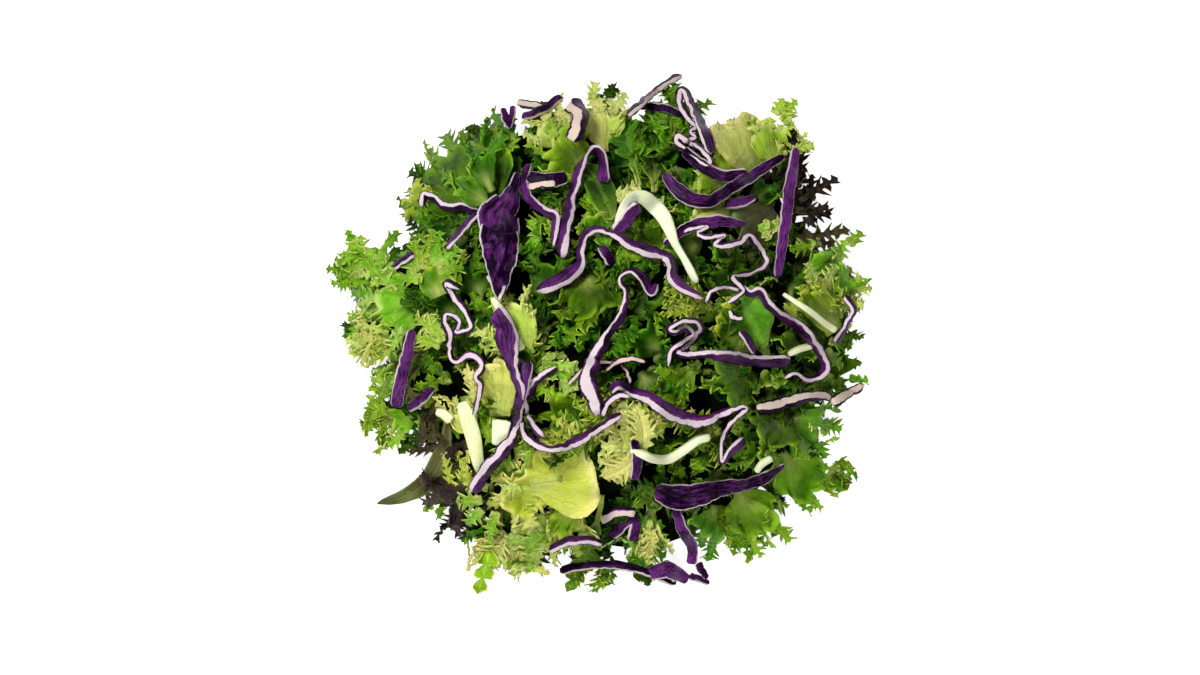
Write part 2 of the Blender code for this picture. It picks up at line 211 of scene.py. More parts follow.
ENDIVE_LEAVES = (
    Leaf("finger", (392, 276), (328, 256), 34, 0.52, 1, -6),
    Leaf("finger", (425, 300), (350, 312), 38, 0.64, 3),
    Leaf("oak", (400, 352), (376, 408), 17, 0.50, -2),
    Leaf("finger", (418, 412), (372, 440), 16, 0.60, 0),
    Leaf("endive", (492, 216), (428, 128), 56, 0.34, 4),
    Leaf("endive", (508, 162), (478, 110), 26, 0.30, -1),
    Leaf("endive", (478, 228), (402, 240), 26, 0.22, -4),
    Leaf("endive", (592, 170), (526, 138), 34, 0.55, 6),
    Leaf("oak", (668, 152), (672, 94), 18, 0.40, 0),
    Leaf("endive", (690, 146), (638, 116), 24, 0.40, 0),
    Leaf("oak", (655, 192), (650, 128), 26, 0.22, -3),
    Leaf("endive", (795, 302), (864, 250), 32, 0.55, 1),
    Leaf("endive", (850, 345), (788, 285), 28, 0.36, 1),
    Leaf("plain", (785, 305), (857, 386), 30, 0.22, -3),
    Leaf("finger", (825, 378), (866, 383), 8, 0.35, -2),
    Leaf("endive", (785, 415), (840, 440), 34, 0.48, 1),
    Leaf("endive", (782, 452), (834, 510), 36, 0.56, 2),
    Leaf("endive", (735, 488), (777, 554), 36, 0.52, 2),
    Leaf("endive", (715, 505), (705, 562), 26, 0.50, 1),
    Leaf("oak", (580, 500), (513, 562), 26, 0.70, 4),
    Leaf("finger", (476, 512), (472, 562), 12, 0.45, 0),
    Leaf("endive", (588, 268), (590, 342), 40, 0.34, 6),
    Leaf("oak", (528, 350), (580, 386), 18, 0.66, 5),
    Leaf("oak", (700, 362), (658, 402), 30, 0.45, 0),
    Leaf("endive", (752, 372), (694, 398), 34, 0.40, 3),
    Leaf("endive", (800, 350), (763, 335), 18, 0.40, 1),
    Leaf("endive", (745, 300), (700, 250), 24, 0.24, -4),
    Leaf("oak", (668, 160), (700, 205), 26, 0.22, -3),
    Leaf("endive", (560, 300), (520, 250), 26, 0.28, -4),
    Leaf("finger", (536, 262), (520, 218), 18, 0.48, -2),
    Leaf("endive", (640, 320), (660, 280), 24, 0.20, -4),
    Leaf("endive", (560, 420), (600, 470), 30, 0.26, -4),
    Leaf("endive", (700, 432), (668, 470), 30, 0.34, 1),
    Leaf("endive", (790, 410), (745, 458), 34, 0.36, 2),
    Leaf("endive", (560, 470), (520, 450), 22, 0.36, -3),
    Leaf("oak", (655, 500), (640, 560), 22, 0.34, -2),
    Leaf("endive", (668, 262), (636, 208), 30, 0.40, -2),
    Leaf("endive", (620, 250), (660, 215), 24, 0.30, -4),
    Leaf("endive", (575, 420), (560, 470), 26, 0.34, -3),
    Leaf("endive", (455, 350), (450, 300), 24, 0.40, -3),
    Leaf("oak", (720, 470), (692, 505), 18, 0.36, -2),
    Leaf("endive", (640, 372), (676, 420), 30, 0.30, 1),
    Leaf("endive", (640, 350), (600, 330), 22, 0.34, -4),
)

# Leaves in the gaps between the clear ones, most with dark shades: painted shade in the gaps.
SHADED_GAP_LEAVES = (
    Leaf("endive", (566, 300), (600, 350), 28, 0.30, -2),
    Leaf("endive", (662, 352), (622, 314), 28, 0.26, -2),
    Leaf("endive", (694, 236), (656, 196), 24, 0.30, -2),
    Leaf("oak", (660, 262), (628, 262), 18, 0.34, -3),
    Leaf("endive", (752, 204), (786, 170), 20, 0.28, -3),
    Leaf("endive", (480, 300), (468, 246), 22, 0.22, -4),
    Leaf("finger", (578, 428), (540, 380), 30, 0.50, -2),
    Leaf("plain", (738, 264), (702, 238), 18, 0.30, -2),
    Leaf("plain", (596, 316), (574, 350), 18, 0.30, -2),
    Leaf("plain", (716, 332), (690, 346), 14, 0.30, -3),
    Leaf("endive", (768, 398), (796, 366), 20, 0.30, -2),
    Leaf("endive", (672, 504), (642, 472), 20, 0.30, -3),
    Leaf("finger", (490, 206), (440, 166), 18, 0.40, 6, 5),
    Leaf("finger", (492, 192), (466, 132), 16, 0.34, 6, 4),
    Leaf("endive", (762, 430), (726, 448), 22, 0.30, -2),
)

FRISEE_LEAVES = (
    Leaf("lettuce", (440, 296), (424, 256), 17, 0.50, 6, 5),
    Leaf("finger", (452, 292), (426, 240), 26, 0.56, 4),
    Leaf("frisee", (388, 338), (344, 358), 20, 0.84, 3),
    Leaf("finger", (605, 152), (590, 82), 22, 0.90, 2, -3),
    Leaf("finger", (600, 150), (632, 92), 15, 0.84, 1),
    Leaf("frisee", (575, 150), (520, 112), 18, 0.80, 2),
    Leaf("finger", (812, 312), (846, 272), 24, 0.80, 3),
    Leaf("finger", (532, 354), (490, 284), 30, 0.82, 4, 1),
    Leaf("frisee", (650, 505), (650, 562), 9, 0.92, 3),
    Leaf("frisee", (520, 545), (536, 592), 14, 0.84, 2),
    Leaf("frisee", (490, 520), (496, 577), 20, 0.88, 3),
    Leaf("frisee", (472, 438), (446, 380), 22, 0.90, 5, 2),
    Leaf("finger", (462, 420), (436, 404), 12, 0.88, 5, 3),
    Leaf("finger", (632, 456), (626, 404), 22, 0.93, 7, 6),
    Leaf("finger", (632, 450), (610, 478), 16, 0.93, 6, 6),
    Leaf("lobe", (641, 456), (634, 404), 13, 1.00, 10, 9, -6),
    Leaf("lobe", (641, 452), (603, 477), 12, 1.00, 10, 9, 4),
    Leaf("lettuce", (835, 331), (800, 276), 16, 0.56, 5, 5),
)


class Frizz(NamedTuple):
    """A head of curly fronds fanned from one foot, with its mean heading and spread in degrees."""

    foot: tuple
    heading: float
    spread: float
    count: int
    length_px: float
    half_px: float
    shade: float
    lift_mm: float


FRIZZES = (
    Frizz((600, 440), 140, 150, 15, 56, 7, 0.64, 2),
    Frizz((712, 307), 172, 60, 9, 52, 5, 0.56, 3),
    Frizz((466, 500), 104, 30, 5, 62, 6, 0.66, 3),
    Frizz((440, 285), 100, 120, 6, 36, 8, 0.48, 3),
    Frizz((395, 342), 190, 80, 7, 44, 6, 0.72, 4),
    Frizz((520, 352), 115, 110, 8, 44, 8, 0.76, 1),
    Frizz((815, 305), 25, 100, 8, 50, 8, 0.70, 3),
    Frizz((780, 160), 55, 40, 4, 42, 5, 0.80, 3),
    Frizz((640, 420), 20, 100, 5, 30, 7, 0.76, 4),
    Frizz((500, 530), 262, 90, 8, 46, 8, 0.90, 3),
    Frizz((650, 520), 268, 40, 5, 48, 6, 0.92, 3),
    Frizz((720, 430), 215, 120, 10, 44, 9, 0.46, -2),
    Frizz((560, 215), 200, 160, 9, 34, 7, 0.40, -2),
    Frizz((690, 156), 100, 60, 7, 54, 6, 0.40, 0),
    Frizz((480, 210), 245, 110, 7, 44, 8, 0.34, -2),
    Frizz((830, 470), 320, 90, 7, 34, 7, 0.44, 1),
    Frizz((745, 520), 290, 120, 8, 44, 7, 0.50, 0),
    Frizz((600, 560), 255, 120, 8, 34, 7, 0.46, -1),
    Frizz((392, 420), 215, 100, 7, 36, 6, 0.55, -1),
    Frizz((600, 300), 20, 150, 9, 40, 8, 0.26, -5),
    Frizz((520, 420), 200, 200, 9, 36, 8, 0.40, -4),
)

LETTUCE_LEAVES = (
    Leaf("lettuce", (752, 174), (732, 104), 30, 0.86, 2, -4),
    Leaf("lettuce", (775, 168), (782, 108), 28, 0.72, 3, -4),
    Leaf("endive", (545, 488), (474, 506), 34, 0.74, 5, 5),
    Leaf("endive", (540, 484), (500, 456), 24, 0.66, 5, 4),
    Leaf("endive", (562, 480), (497, 482), 28, 0.72, 7, 7),
    Leaf("round", (530, 484), (607, 476), 30, 0.80, 8, 7),
    Leaf("endive", (562, 508), (588, 546), 22, 0.62, 4, 2),
    Leaf("finger", (592, 503), (545, 562), 15, 0.62, 6, 5, -14),
    Leaf("lettuce", (500, 416), (497, 343), 24, 0.84, 3, -1),
    Leaf("lettuce", (737, 196), (690, 156), 24, 0.60, 1),
    Leaf("lettuce", (748, 215), (680, 212), 11, 0.74, 0),
    Leaf("lettuce", (745, 352), (735, 292), 24, 0.48, 0, -3),
    Leaf("lettuce", (600, 240), (590, 205), 18, 0.44, -3),
    Leaf("lettuce", (430, 214), (398, 188), 19, 0.62, 1),
    Leaf("lettuce", (700, 250), (650, 235), 22, 0.40, -3),
    Leaf("lettuce", (470, 395), (480, 450), 18, 0.52, -3),
)

# Single lobes that stand clear of their leaves in the photograph.
CLEAR_LOBES = (
    Leaf("oak", (396, 292), (358, 250), 22, 0.62, 3, 0),
    Leaf("lobe", (360, 258), (347, 230), 6, 0.62, 2, 3),
    Leaf("lobe", (362, 262), (340, 254), 5, 0.62, 2, 3),
    Leaf("lobe", (362, 268), (326, 269), 8, 0.60, 2, 3),
    Leaf("lobe", (364, 272), (331, 284), 7, 0.60, 2, 3),
    Leaf("lobe", (385, 300), (351, 292), 8, 0.66, 2, 1),
    Leaf("lobe", (382, 306), (348, 320), 8, 0.62, 1, 1),
    Leaf("lobe", (370, 308), (350, 338), 8, 0.60, 0, 1),
    Leaf("lobe", (388, 300), (386, 332), 9, 0.58, 2, 2),
    Leaf("lobe", (385, 348), (346, 340), 9, 0.90, 1, 1),
    Leaf("lobe", (382, 350), (352, 354), 9, 0.90, 1, 1),
    Leaf("lobe", (445, 338), (414, 316), 9, 0.70, 5, 3),
    Leaf("lobe", (442, 342), (430, 314), 9, 0.72, 5, 3),
    Leaf("lobe", (440, 345), (410, 336), 8, 0.68, 5, 3),
    Leaf("lobe", (424, 270), (433, 229), 9, 0.62, 8, 6),
    Leaf("lobe", (432, 268), (441, 231), 7, 0.60, 8, 6),
    Leaf("lobe", (420, 268), (415, 240), 8, 0.58, 8, 6),
    Leaf("lobe", (418, 272), (401, 252), 8, 0.60, 7, 5),
    Leaf("lobe", (436, 266), (459, 248), 9, 0.60, 8, 6),
    Leaf("lobe", (438, 272), (464, 268), 8, 0.56, 7, 5),
    Leaf("lobe", (420, 278), (400, 278), 8, 0.60, 6, 4),
    Leaf("lobe", (440, 278), (462, 280), 7, 0.52, 6, 4),
    Leaf("lobe", (845, 292), (872, 288), 7, 0.84, 4, 5),
    Leaf("lobe", (842, 294), (861, 276), 7, 0.82, 4, 5),
    Leaf("lobe", (842, 298), (864, 303), 7, 0.82, 4, 5),
    Leaf("lobe", (825, 285), (836, 264), 8, 0.82, 6, 5),
    Leaf("lobe", (818, 290), (808, 262), 8, 0.78, 6, 5),
    Leaf("lobe", (826, 288), (852, 268), 9, 0.82, 5, 5),
    Leaf("lobe", (820, 300), (812, 280), 8, 0.80, 6, 5),
    Leaf("lobe", (832, 300), (842, 318), 8, 0.80, 5, 5),
    Leaf("lobe", (830, 340), (852, 348), 6, 0.50, 1, 2),
    Leaf("lobe", (826, 350), (842, 368), 6, 0.46, 1, 2),
    Leaf("lobe", (820, 242), (790, 250), 7, 0.50, 3, 2),
    Leaf("lobe", (848, 244), (862, 232), 7, 0.50, 1, 2),
    Leaf("lobe", (836, 262), (846, 240), 8, 0.70, 4, 4),
    Leaf("lobe", (632, 420), (641, 399), 7, 0.92, 8, 7),
    Leaf("lobe", (632, 420), (622, 401), 8, 0.94, 8, 7),
    Leaf("lobe", (628, 425), (609, 412), 7, 0.94, 8, 7),
    Leaf("lobe", (625, 435), (605, 430), 8, 0.94, 8, 7),
    Leaf("lobe", (622, 445), (601, 446), 8, 0.94, 8, 7),
    Leaf("lobe", (620, 455), (598, 462), 8, 0.94, 8, 7),
    Leaf("lobe", (618, 460), (605, 478), 7, 0.94, 7, 7),
    Leaf("lobe", (622, 460), (618, 484), 7, 0.92, 7, 7),
    Leaf("lobe", (628, 455), (634, 474), 7, 0.90, 6, 7),
    Leaf("lobe", (640, 422), (662, 414), 8, 0.84, 6, 6),
    Leaf("lobe", (645, 428), (664, 432), 7, 0.80, 5, 5),
    Leaf("lobe", (592, 98), (595, 82), 6, 0.92, 1, 2),
    Leaf("lobe", (612, 112), (626, 93), 7, 0.88, 1, 2),
    Leaf("lobe", (600, 112), (600, 98), 6, 0.90, 1, 2),
    Leaf("lobe", (488, 488), (462, 478), 8, 0.66, 5, 4),
    Leaf("lobe", (482, 500), (456, 502), 9, 0.70, 5, 4),
    Leaf("lobe", (482, 510), (466, 524), 8, 0.66, 5, 4),
    Leaf("lobe", (496, 512), (490, 536), 8, 0.68, 5, 4),
    Leaf("lobe", (530, 512), (520, 540), 9, 0.70, 5, 4),
    Leaf("lobe", (545, 515), (538, 545), 9, 0.60, 4, 4),
    Leaf("lobe", (512, 470), (496, 452), 8, 0.58, 5, 4),
    Leaf("lobe", (530, 462), (524, 440), 9, 0.54, 5, 4),
    Leaf("lobe", (548, 460), (552, 438), 8, 0.52, 4, 4),
    Leaf("lobe", (780, 116), (797, 100), 6, 0.74, 3, 3),
    Leaf("lobe", (774, 114), (784, 99), 6, 0.76, 3, 3),
    Leaf("lobe", (782, 122), (793, 112), 6, 0.72, 3, 3),
    Leaf("lobe", (636, 197), (616, 192), 7, 0.98, 10, 11),
    Leaf("lobe", (634, 199), (617, 200), 6, 0.98, 10, 11),
    Leaf("lobe", (640, 195), (629, 186), 6, 0.98, 10, 11),
)

RED_LEAVES = (
    Leaf("red", (785, 195), (800, 140), 13, 0.08, -1),
    Leaf("spiky", (788, 190), (793, 129), 9, 0.10, 1, -2),
    Leaf("spiky", (792, 195), (806, 146), 8, 0.06, 1, -2),
    Leaf("red", (786, 212), (826, 184), 20, 0.12, 1),
    Leaf("spiky", (800, 200), (838, 178), 10, 0.16, 2, -1),
    Leaf("spiky", (796, 210), (832, 214), 9, 0.08, 1, -1),
    Leaf("red", (786, 228), (820, 222), 18, 0.10, 0),
    Leaf("spiky", (795, 238), (850, 230), 9, 0.36, 2, -1),
    Leaf("spiky", (790, 248), (835, 242), 10, 0.30, 1, -1),
    Leaf("strap", (447, 414), (377, 504), 10, 0.55, 3, -1, 26),
    Leaf("red", (466, 476), (426, 512), 20, 0.10, 3, 1),
    Leaf("red", (464, 488), (454, 551), 13, 0.04, 2, 0),
    Leaf("red", (436, 400), (420, 446), 9, 0.20, 2),
    Leaf("spiky", (440, 446), (408, 452), 6, 0.40, 2, 0),
    Leaf("red", (472, 440), (448, 470), 14, 0.04, 2, 0),
    Leaf("red", (772, 200), (740, 262), 28, 0.55, -3),
    Leaf("red", (420, 350), (388, 392), 14, 0.42, -2),
    Leaf("strap", (500, 505), (488, 560), 6, 0.36, 0),
    Leaf("red", (762, 192), (796, 166), 14, 0.22, -2),
)

ROCKET_LEAVES = (
    Leaf("rocket", (640, 187), (620, 112), 20, 0.42, 2),
    Leaf("rocket", (602, 495), (567, 592), 14, 0.42, 2, 2, 6),
    Leaf("rocket", (490, 520), (478, 592), 12, 0.62, 3, 0, 4),
    Leaf("rocket", (722, 352), (735, 296), 12, 0.34, 2),
    Leaf("baby", (614, 240), (584, 163), 15, 0.26, 1, -5, -6),
    Leaf("baby", (772, 364), (735, 292), 26, 0.46, 2, -4),
    Leaf("rocket", (372, 395), (368, 432), 6, 0.60, 2),
    Leaf("baby", (545, 372), (505, 352), 12, 0.30, -2),
    Leaf("rocket", (610, 262), (600, 222), 9, 0.40, -1),
)


class Strip(NamedTuple):
    """A shred or a rib along a route of photo pixels, with widths, thicknesses and leans spread along it.

    A lean of 0 lies flat and 90 stands on edge with its cut face up. Below 90 the skin shows to the left of
    the route, and above 90 to the right.
    """

    route: tuple
    width_px: tuple
    cut_px: tuple
    lean: tuple
    lift_mm: float = 2.0
    violet: float = 0.5
    cream: float = 0.2


SHREDS = (
    Strip(((603, 182), (602, 160), (595, 149), (584, 160), (577, 180), (572, 200), (566, 225), (562, 257)),
          (16, 12, 12, 14, 13, 11), (3, 3, 4, 5, 6, 9), (28, 70, 112, 118, 118, 112), 5, 0.7),
    Strip(((529, 164), (524, 183), (532, 201), (547, 211), (556, 218), (553, 246)),
          (9, 10, 10, 7), (3, 3, 5, 4), (142, 138, 124, 95), 3, 0.75),
    Strip(((517, 172), (513, 190), (508, 202), (499, 215), (499, 232), (500, 250), (500, 270), (499, 297)),
          (5, 11, 25, 44, 41, 38, 31, 20, 8), (4, 4), (10, 6, 3, 0, 6), 10, 0.28),
    Strip(((488, 276), (492, 282), (497, 278), (503, 277), (506, 284), (502, 294), (499, 300)),
          (6, 6), (4, 4), (80, 95), 18, 0.5),
    Strip(((422, 206), (424, 194), (434, 198), (446, 206), (463, 207), (480, 212)),
          (9, 9), (5, 4), (100, 125), 3, 0.3),
    Strip(((480, 212), (468, 224), (447, 248)), (10, 8), (4, 4), (120, 110), 3, 0.3),
    Strip(((459, 289), (446, 284), (455, 298), (467, 312), (471, 328), (456, 333), (459, 321), (447, 314),
           (444, 322), (450, 332), (451, 350), (455, 361), (472, 355), (483, 365), (477, 377), (481, 385),
           (478, 400), (474, 415)),
          (12, 10, 12, 9), (5, 4, 5, 5), (100, 80, 100, 78, 96), 6, 0.3),
    Strip(((412, 330), (408, 350), (402, 375), (396, 407)), (9, 12, 13, 13), (4, 4), (20, 14, 10), 4, 1.0),
    Strip(((408, 409), (420, 400), (434, 387)), (8, 10, 8), (4, 4), (35, 30), 3, 0.6),
    Strip(((497, 310), (505, 325), (510, 345), (514, 368), (521, 390), (527, 412), (534, 427), (543, 437)),
          (20, 24, 14, 10, 9), (7, 7, 5, 5, 5), (138, 140, 112, 104, 100), 5, 0.8),
    Strip(((527, 361), (524, 385), (520, 405), (514, 435), (500, 455), (484, 473), (473, 492)),
          (14, 13, 11, 14, 12), (3, 3, 6, 9, 8), (160, 150, 92, 62, 58), 4, 0.35),
    Strip(((557, 368), (543, 376), (532, 388), (527, 400)), (8, 8), (5, 4), (62, 70), 3, 0.2),
    Strip(((521, 420), (527, 437), (549, 449), (572, 443), (597, 429), (621, 414)),
          (9, 10, 9), (5, 6, 5), (100, 66, 70), 4, 0.4),
    Strip(((537, 290), (560, 280), (578, 266), (580, 250), (585, 234), (597, 229), (613, 233), (629, 242),
           (645, 250), (664, 255), (672, 266), (673, 277), (684, 288), (702, 298)),
          (12, 15, 11, 9, 11, 13, 13, 10), (7, 9, 5, 4, 7, 8, 6, 5),
          (58, 50, 66, 70, 62, 58, 60, 70), 6, 0.55),
    Strip(((657, 284), (651, 293), (642, 278), (631, 271), (620, 279), (626, 292), (626, 305), (618, 322),
           (603, 343), (593, 362), (588, 382), (594, 400), (598, 414)),
          (9, 13, 11, 11, 13, 12, 12), (3, 3, 3, 3, 6, 15, 13), (130, 126, 76, 60, 62, 74, 82), 5, 0.5),
    Strip(((611, 392), (618, 385), (632, 391), (650, 398), (668, 410), (700, 421), (720, 413), (746, 408),
           (733, 421), (723, 438), (721, 462), (732, 450), (745, 440)),
          (10, 13, 14, 12, 9, 8, 10, 22), (5, 6, 9, 8, 4, 4, 4, 4),
          (64, 60, 58, 66, 104, 84, 92, 132), 6, 0.6),
    Strip(((668, 366), (671, 351), (681, 343), (692, 334), (685, 329), (675, 333), (669, 329), (680, 321),
           (694, 320), (701, 328), (697, 337), (687, 345), (678, 353), (697, 354), (716, 354), (738, 358),
           (762, 361), (790, 361)),
          (9, 10, 9, 12, 14, 13), (5, 4, 4, 5, 6, 5), (100, 84, 78, 100, 128, 130), 6, 0.45),
    Strip(((741, 331), (748, 342), (755, 353)), (10, 8), (4, 3), (60, 60), 4, 0.5),
    Strip(((672, 247), (676, 237), (694, 228), (708, 227), (698, 234), (711, 237), (725, 235), (715, 245),
           (738, 243), (749, 236), (761, 249), (766, 263), (752, 273), (733, 278), (744, 291), (728, 303)),
          (9, 8, 9, 9), (4, 4, 5, 4), (98, 82, 100, 84), 6, 0.3),
    Strip(((664, 244), (688, 228), (714, 221), (746, 224)), (6, 12, 13, 5), (4, 4), (165, 172), 4, 0.35),
    Strip(((744, 287), (750, 293), (760, 291), (768, 303), (781, 315), (797, 325), (810, 338), (820, 352),
           (826, 367), (819, 377), (806, 380), (795, 374), (785, 378)),
          (9, 11, 11, 10, 9), (4, 5, 6, 5, 4), (112, 118, 120, 104, 90), 5, 0.4),
    Strip(((796, 148), (791, 180), (787, 210), (783, 240), (777, 277)),
          (8, 12, 11, 11, 8), (4, 4), (14, 8, 10), 7, 0.9),
    Strip(((711, 152), (705, 135), (696, 116), (687, 97), (681, 90), (679, 104), (688, 118), (696, 127),
           (691, 132), (695, 138), (688, 141), (700, 147), (712, 154)),
          (13, 15, 12, 8, 7, 7), (5, 5, 6, 4, 4, 4), (128, 132, 100, 84, 84, 88), 5, 0.4),
    Strip(((690, 141), (702, 151), (711, 162), (703, 164), (689, 153), (677, 143), (678, 136), (688, 142)),
          (9, 8), (5, 5), (95, 84), 5, 0.35),
    Strip(((684, 150), (705, 167), (722, 175), (747, 173)),
          (10, 13, 12, 9), (3, 3, 4, 6), (150, 154, 160), 3, 0.3),
    Strip(((664, 174), (678, 190), (695, 200), (712, 200), (730, 189), (748, 178), (765, 167), (784, 156)),
          (9, 15, 14, 12, 12, 11, 7), (3, 3, 3), (12, 4, 10, 6), 5, 0.3),
    Strip(((725, 205), (740, 203), (755, 197)), (10, 10, 6), (4, 4), (30, 30), 2, 0.5),
    Strip(((681, 75), (663, 86), (650, 96), (636, 108), (628, 115)),
          (7, 8, 8), (5, 5, 5), (112, 108), 4, 0.3, 0.7),
    Strip(((640, 106), (660, 107), (682, 115)), (8, 8, 7), (2, 2), (160, 160), 2, 0.0, 0.8),
    Strip(((522, 117), (538, 112), (549, 105), (562, 97)), (8, 9, 7), (4, 6, 5), (40, 38), 3, 0.1, 1.0),
    Strip(((518, 103), (530, 104), (542, 107)), (7, 8), (7, 6), (95, 95), 3, 0.1, 1.0),
    Strip(((572, 103), (580, 114), (578, 128), (573, 140)), (14, 14), (13, 12), (64, 68), 3, 0.25, 1.0),
    Strip(((503, 108), (506, 118), (512, 128)), (7, 9), (3, 3), (30, 30), 3, 0.25, 0.5),
    Strip(((514, 106), (512, 118), (508, 128)), (6, 8), (3, 3), (150, 150), 3, 0.25, 0.5),
    Strip(((550, 550), (567, 541), (587, 540), (601, 543)), (9, 10), (5, 5), (64, 66), 3, 0.4),
    Strip(((612, 536), (627, 522), (636, 523), (632, 541)), (10, 11), (4, 4), (30, 26), 3, 0.8),
    Strip(((560, 571), (580, 566), (612, 565), (640, 570), (676, 583)),
          (9, 9, 8), (3, 3), (42, 44), 3, 0.15, 0.6),
    Strip(((653, 580), (660, 568), (667, 563), (672, 570), (674, 581)),
          (8, 8), (4, 4), (95, 84), 4, 0.8, 0.5),
    Strip(((650, 574), (668, 570), (688, 580)), (14, 17, 12), (3, 3), (12, 8), 2, 1.0),
    Strip(((676, 508), (682, 529), (692, 547), (692, 564)), (9, 12, 11), (3, 3), (158, 158), 3, 0.6),
    Strip(((698, 563), (703, 571), (707, 578)), (9, 6), (3, 3), (20, 20), 2, 0.2, 0.5),
    Strip(((690, 576), (700, 579), (709, 583)), (8, 5), (4, 4), (30, 30), 2, 0.1, 0.8),
    Strip(((655, 490), (672, 496), (692, 496), (712, 491), (735, 486), (758, 481), (784, 465)),
          (16, 28, 24, 16, 13, 12, 4), (3, 3, 3), (172, 176, 170, 160), 4, 0.2, 0.6),
    Strip(((757, 408), (780, 404), (802, 398), (822, 396), (836, 402)),
          (8, 9, 8), (9, 9, 7), (108, 106), 3, 0.2, 0.8),
    Strip(((832, 403), (846, 394), (863, 386)), (8, 8, 6), (10, 9, 7), (104, 104), 3, 0.3, 1.0),
    Strip(((846, 296), (854, 311), (849, 323), (842, 333), (836, 342)), (9, 9), (4, 4), (64, 70), 4, 0.5),
    Strip(((634, 440), (638, 459), (634, 480)), (9, 11, 9), (3, 3), (30, 24), 1, 0.4),
    Strip(((602, 415), (607, 402), (617, 396), (629, 397)), (8, 8), (5, 5), (84, 92), 3, 0.4),
    Strip(((706, 302), (712, 291), (724, 287), (739, 290)), (8, 8), (4, 4), (95, 90), 3, 0.3),
    Strip(((730, 311), (733, 317), (742, 318)), (7, 7), (4, 4), (90, 90), 3, 0.3),
    Strip(((602, 246), (606, 254), (611, 264)), (10, 9), (4, 4), (20, 24), 0, 0.3),
    Strip(((616, 230), (627, 216), (638, 206)), (13, 14, 12), (7, 8, 7), (132, 134), 4, 0.9),
    Strip(((394, 267), (407, 258), (414, 254)), (8, 7), (4, 4), (60, 60), 2, 0.4),
    Strip(((528, 176), (545, 181), (567, 177)), (12, 16, 12), (3, 3), (8, 12), -1, 0.0, 0.5),
    Strip(((529, 186), (541, 184), (555, 184)), (6, 6), (8, 7), (94, 94), 1, 0.2, 1.0),
    Strip(((568, 384), (590, 364), (614, 362)), (4, 4), (3, 3), (90, 90), -2, 0.3, 1.0),
    Strip(((606, 370), (618, 361), (630, 359), (645, 362)), (5, 8, 4), (3, 6, 3), (90, 90), 1, 0.2, 1.0),
    Strip(((621, 364), (627, 372), (630, 383)), (4, 4), (3, 3), (90, 90), 0, 0.2, 0.8),
    Strip(((602, 520), (616, 512), (634, 512)), (12, 14, 12), (8, 8), (88, 84), 1, 0.1, 0.7),
)

RIBS = (
    Strip(((697, 283), (685, 260), (675, 243), (669, 228), (663, 216), (654, 206), (644, 198), (634, 197),
           (626, 203), (620, 213), (616, 226)),
          (7, 8, 7, 8, 12, 15, 16, 14, 9, 6, 4), (4, 4, 3, 3, 3), (20, 10, 6, 10, 30), 12, 0.10, 0.20),
    Strip(((710, 436), (698, 440), (684, 450), (669, 459), (654, 459), (642, 454), (630, 450)),
          (9, 8, 9, 9, 8, 8, 5), (6, 6, 5, 4), (24, 10, 20, 24), 9, 0.35, 0.30),
    Strip(((484, 480), (478, 462), (474, 440), (468, 420), (462, 402)),
          (7, 13, 16, 17, 12), (3, 3, 3, 3), (4, 6, 0, 8), 1, 0.85, 0.85),
    Strip(((498, 446), (500, 434), (502, 420)), (13, 17, 20), (4, 4), (10, 10), 3, 0.05, 0.10),
    Strip(((522, 350), (512, 332), (502, 312), (492, 298)),
          (9, 12, 10, 5), (4, 4, 3), (10, 0, 8), -3, 0.9, 0.9),
    Strip(((812, 346), (800, 349), (788, 354)), (6, 6, 5), (5, 5), (20, 20), 5, 0.5, 0.5),
    Strip(((783, 294), (797, 303), (812, 313), (824, 323), (836, 331)),
          (4, 5, 6, 6, 7), (4, 4), (10, 10), 6, 0.4, 0.5),
    Strip(((772, 458), (762, 464), (756, 472)), (6, 7, 5), (4, 4), (30, 30), 3, 0.3, 0.4),
    Strip(((436, 412), (443, 414), (451, 421)), (7, 10, 9), (5, 5), (14, 20), 3, 0.1, 0.9),
)


class Scatter(NamedTuple):
    """A layer of leaves drawn over the whole heap, as ranges for their lifts, shades and lengths.

    They point outwards, give or take a typical angle that shrinks from the middle to the rim. Those that are
    kept in stay short near the rim.
    """

    lifts_mm: tuple
    shades: tuple
    lengths_px: tuple
    cuts: tuple = ("plain", "plain_oak", "plain", "plain_oak", "frond")
    feathered_half: tuple = (0.26, 0.38)
    fanned_half: tuple = (0.45, 0.75)
    foot_drop_mm: float = 5.0
    reach: float = 0.90
    first: float = 0.5
    turned: float = 0.0
    aims: tuple = (1.3, 0.9)
    kept_in: bool = True


# The deeper a layer lies, the darker its shades: painted shade under the upper leaves.
DEEP_SCATTER = Scatter((-11.0, -7.0), (0.02, 0.18), (34.0, 58.0))
LOWER_SCATTER = Scatter((-7.0, -4.0), (0.02, 0.32), (28.0, 48.0))
MIDDLE_SCATTER = Scatter((-6.0, -3.0), (0.08, 0.50), (24.0, 40.0))
SPRIG_SCATTER = Scatter((-4.5, 0.5), (0.34, 0.80), (20.0, 36.0), ("finger", "oak", "frond", "plain", "frond"),
                        (0.22, 0.36), (0.5, 0.7), 6.0, 0.93, 0.7, 1.1, (1.5, 1.0), False)


def smooth_step(low, high, value):
    """0 below low, 1 above high and a soft slope between."""
    share = np.clip((value - low) / (high - low), 0.0, 1.0)
    return share * share * (3.0 - 2.0 * share)


def rim_px(angle):
    """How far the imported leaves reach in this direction, in photo pixels."""
    turn = np.mod(angle / (2.0 * math.pi), 1.0) * len(OUTLINE_PX)
    return np.interp(turn, np.arange(len(OUTLINE_PX) + 1), OUTLINE_PX + OUTLINE_PX[:1])


def heap_top(x, y):
    """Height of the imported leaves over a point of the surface."""
    reach = np.hypot(x, y) / (rim_px(np.arctan2(y, x)) * PIXEL)
    height = bpy.context.scene.salad_heap.height
    return height * np.cos(np.minimum(reach, 1.0) * math.pi / 2.0) ** SHOULDER


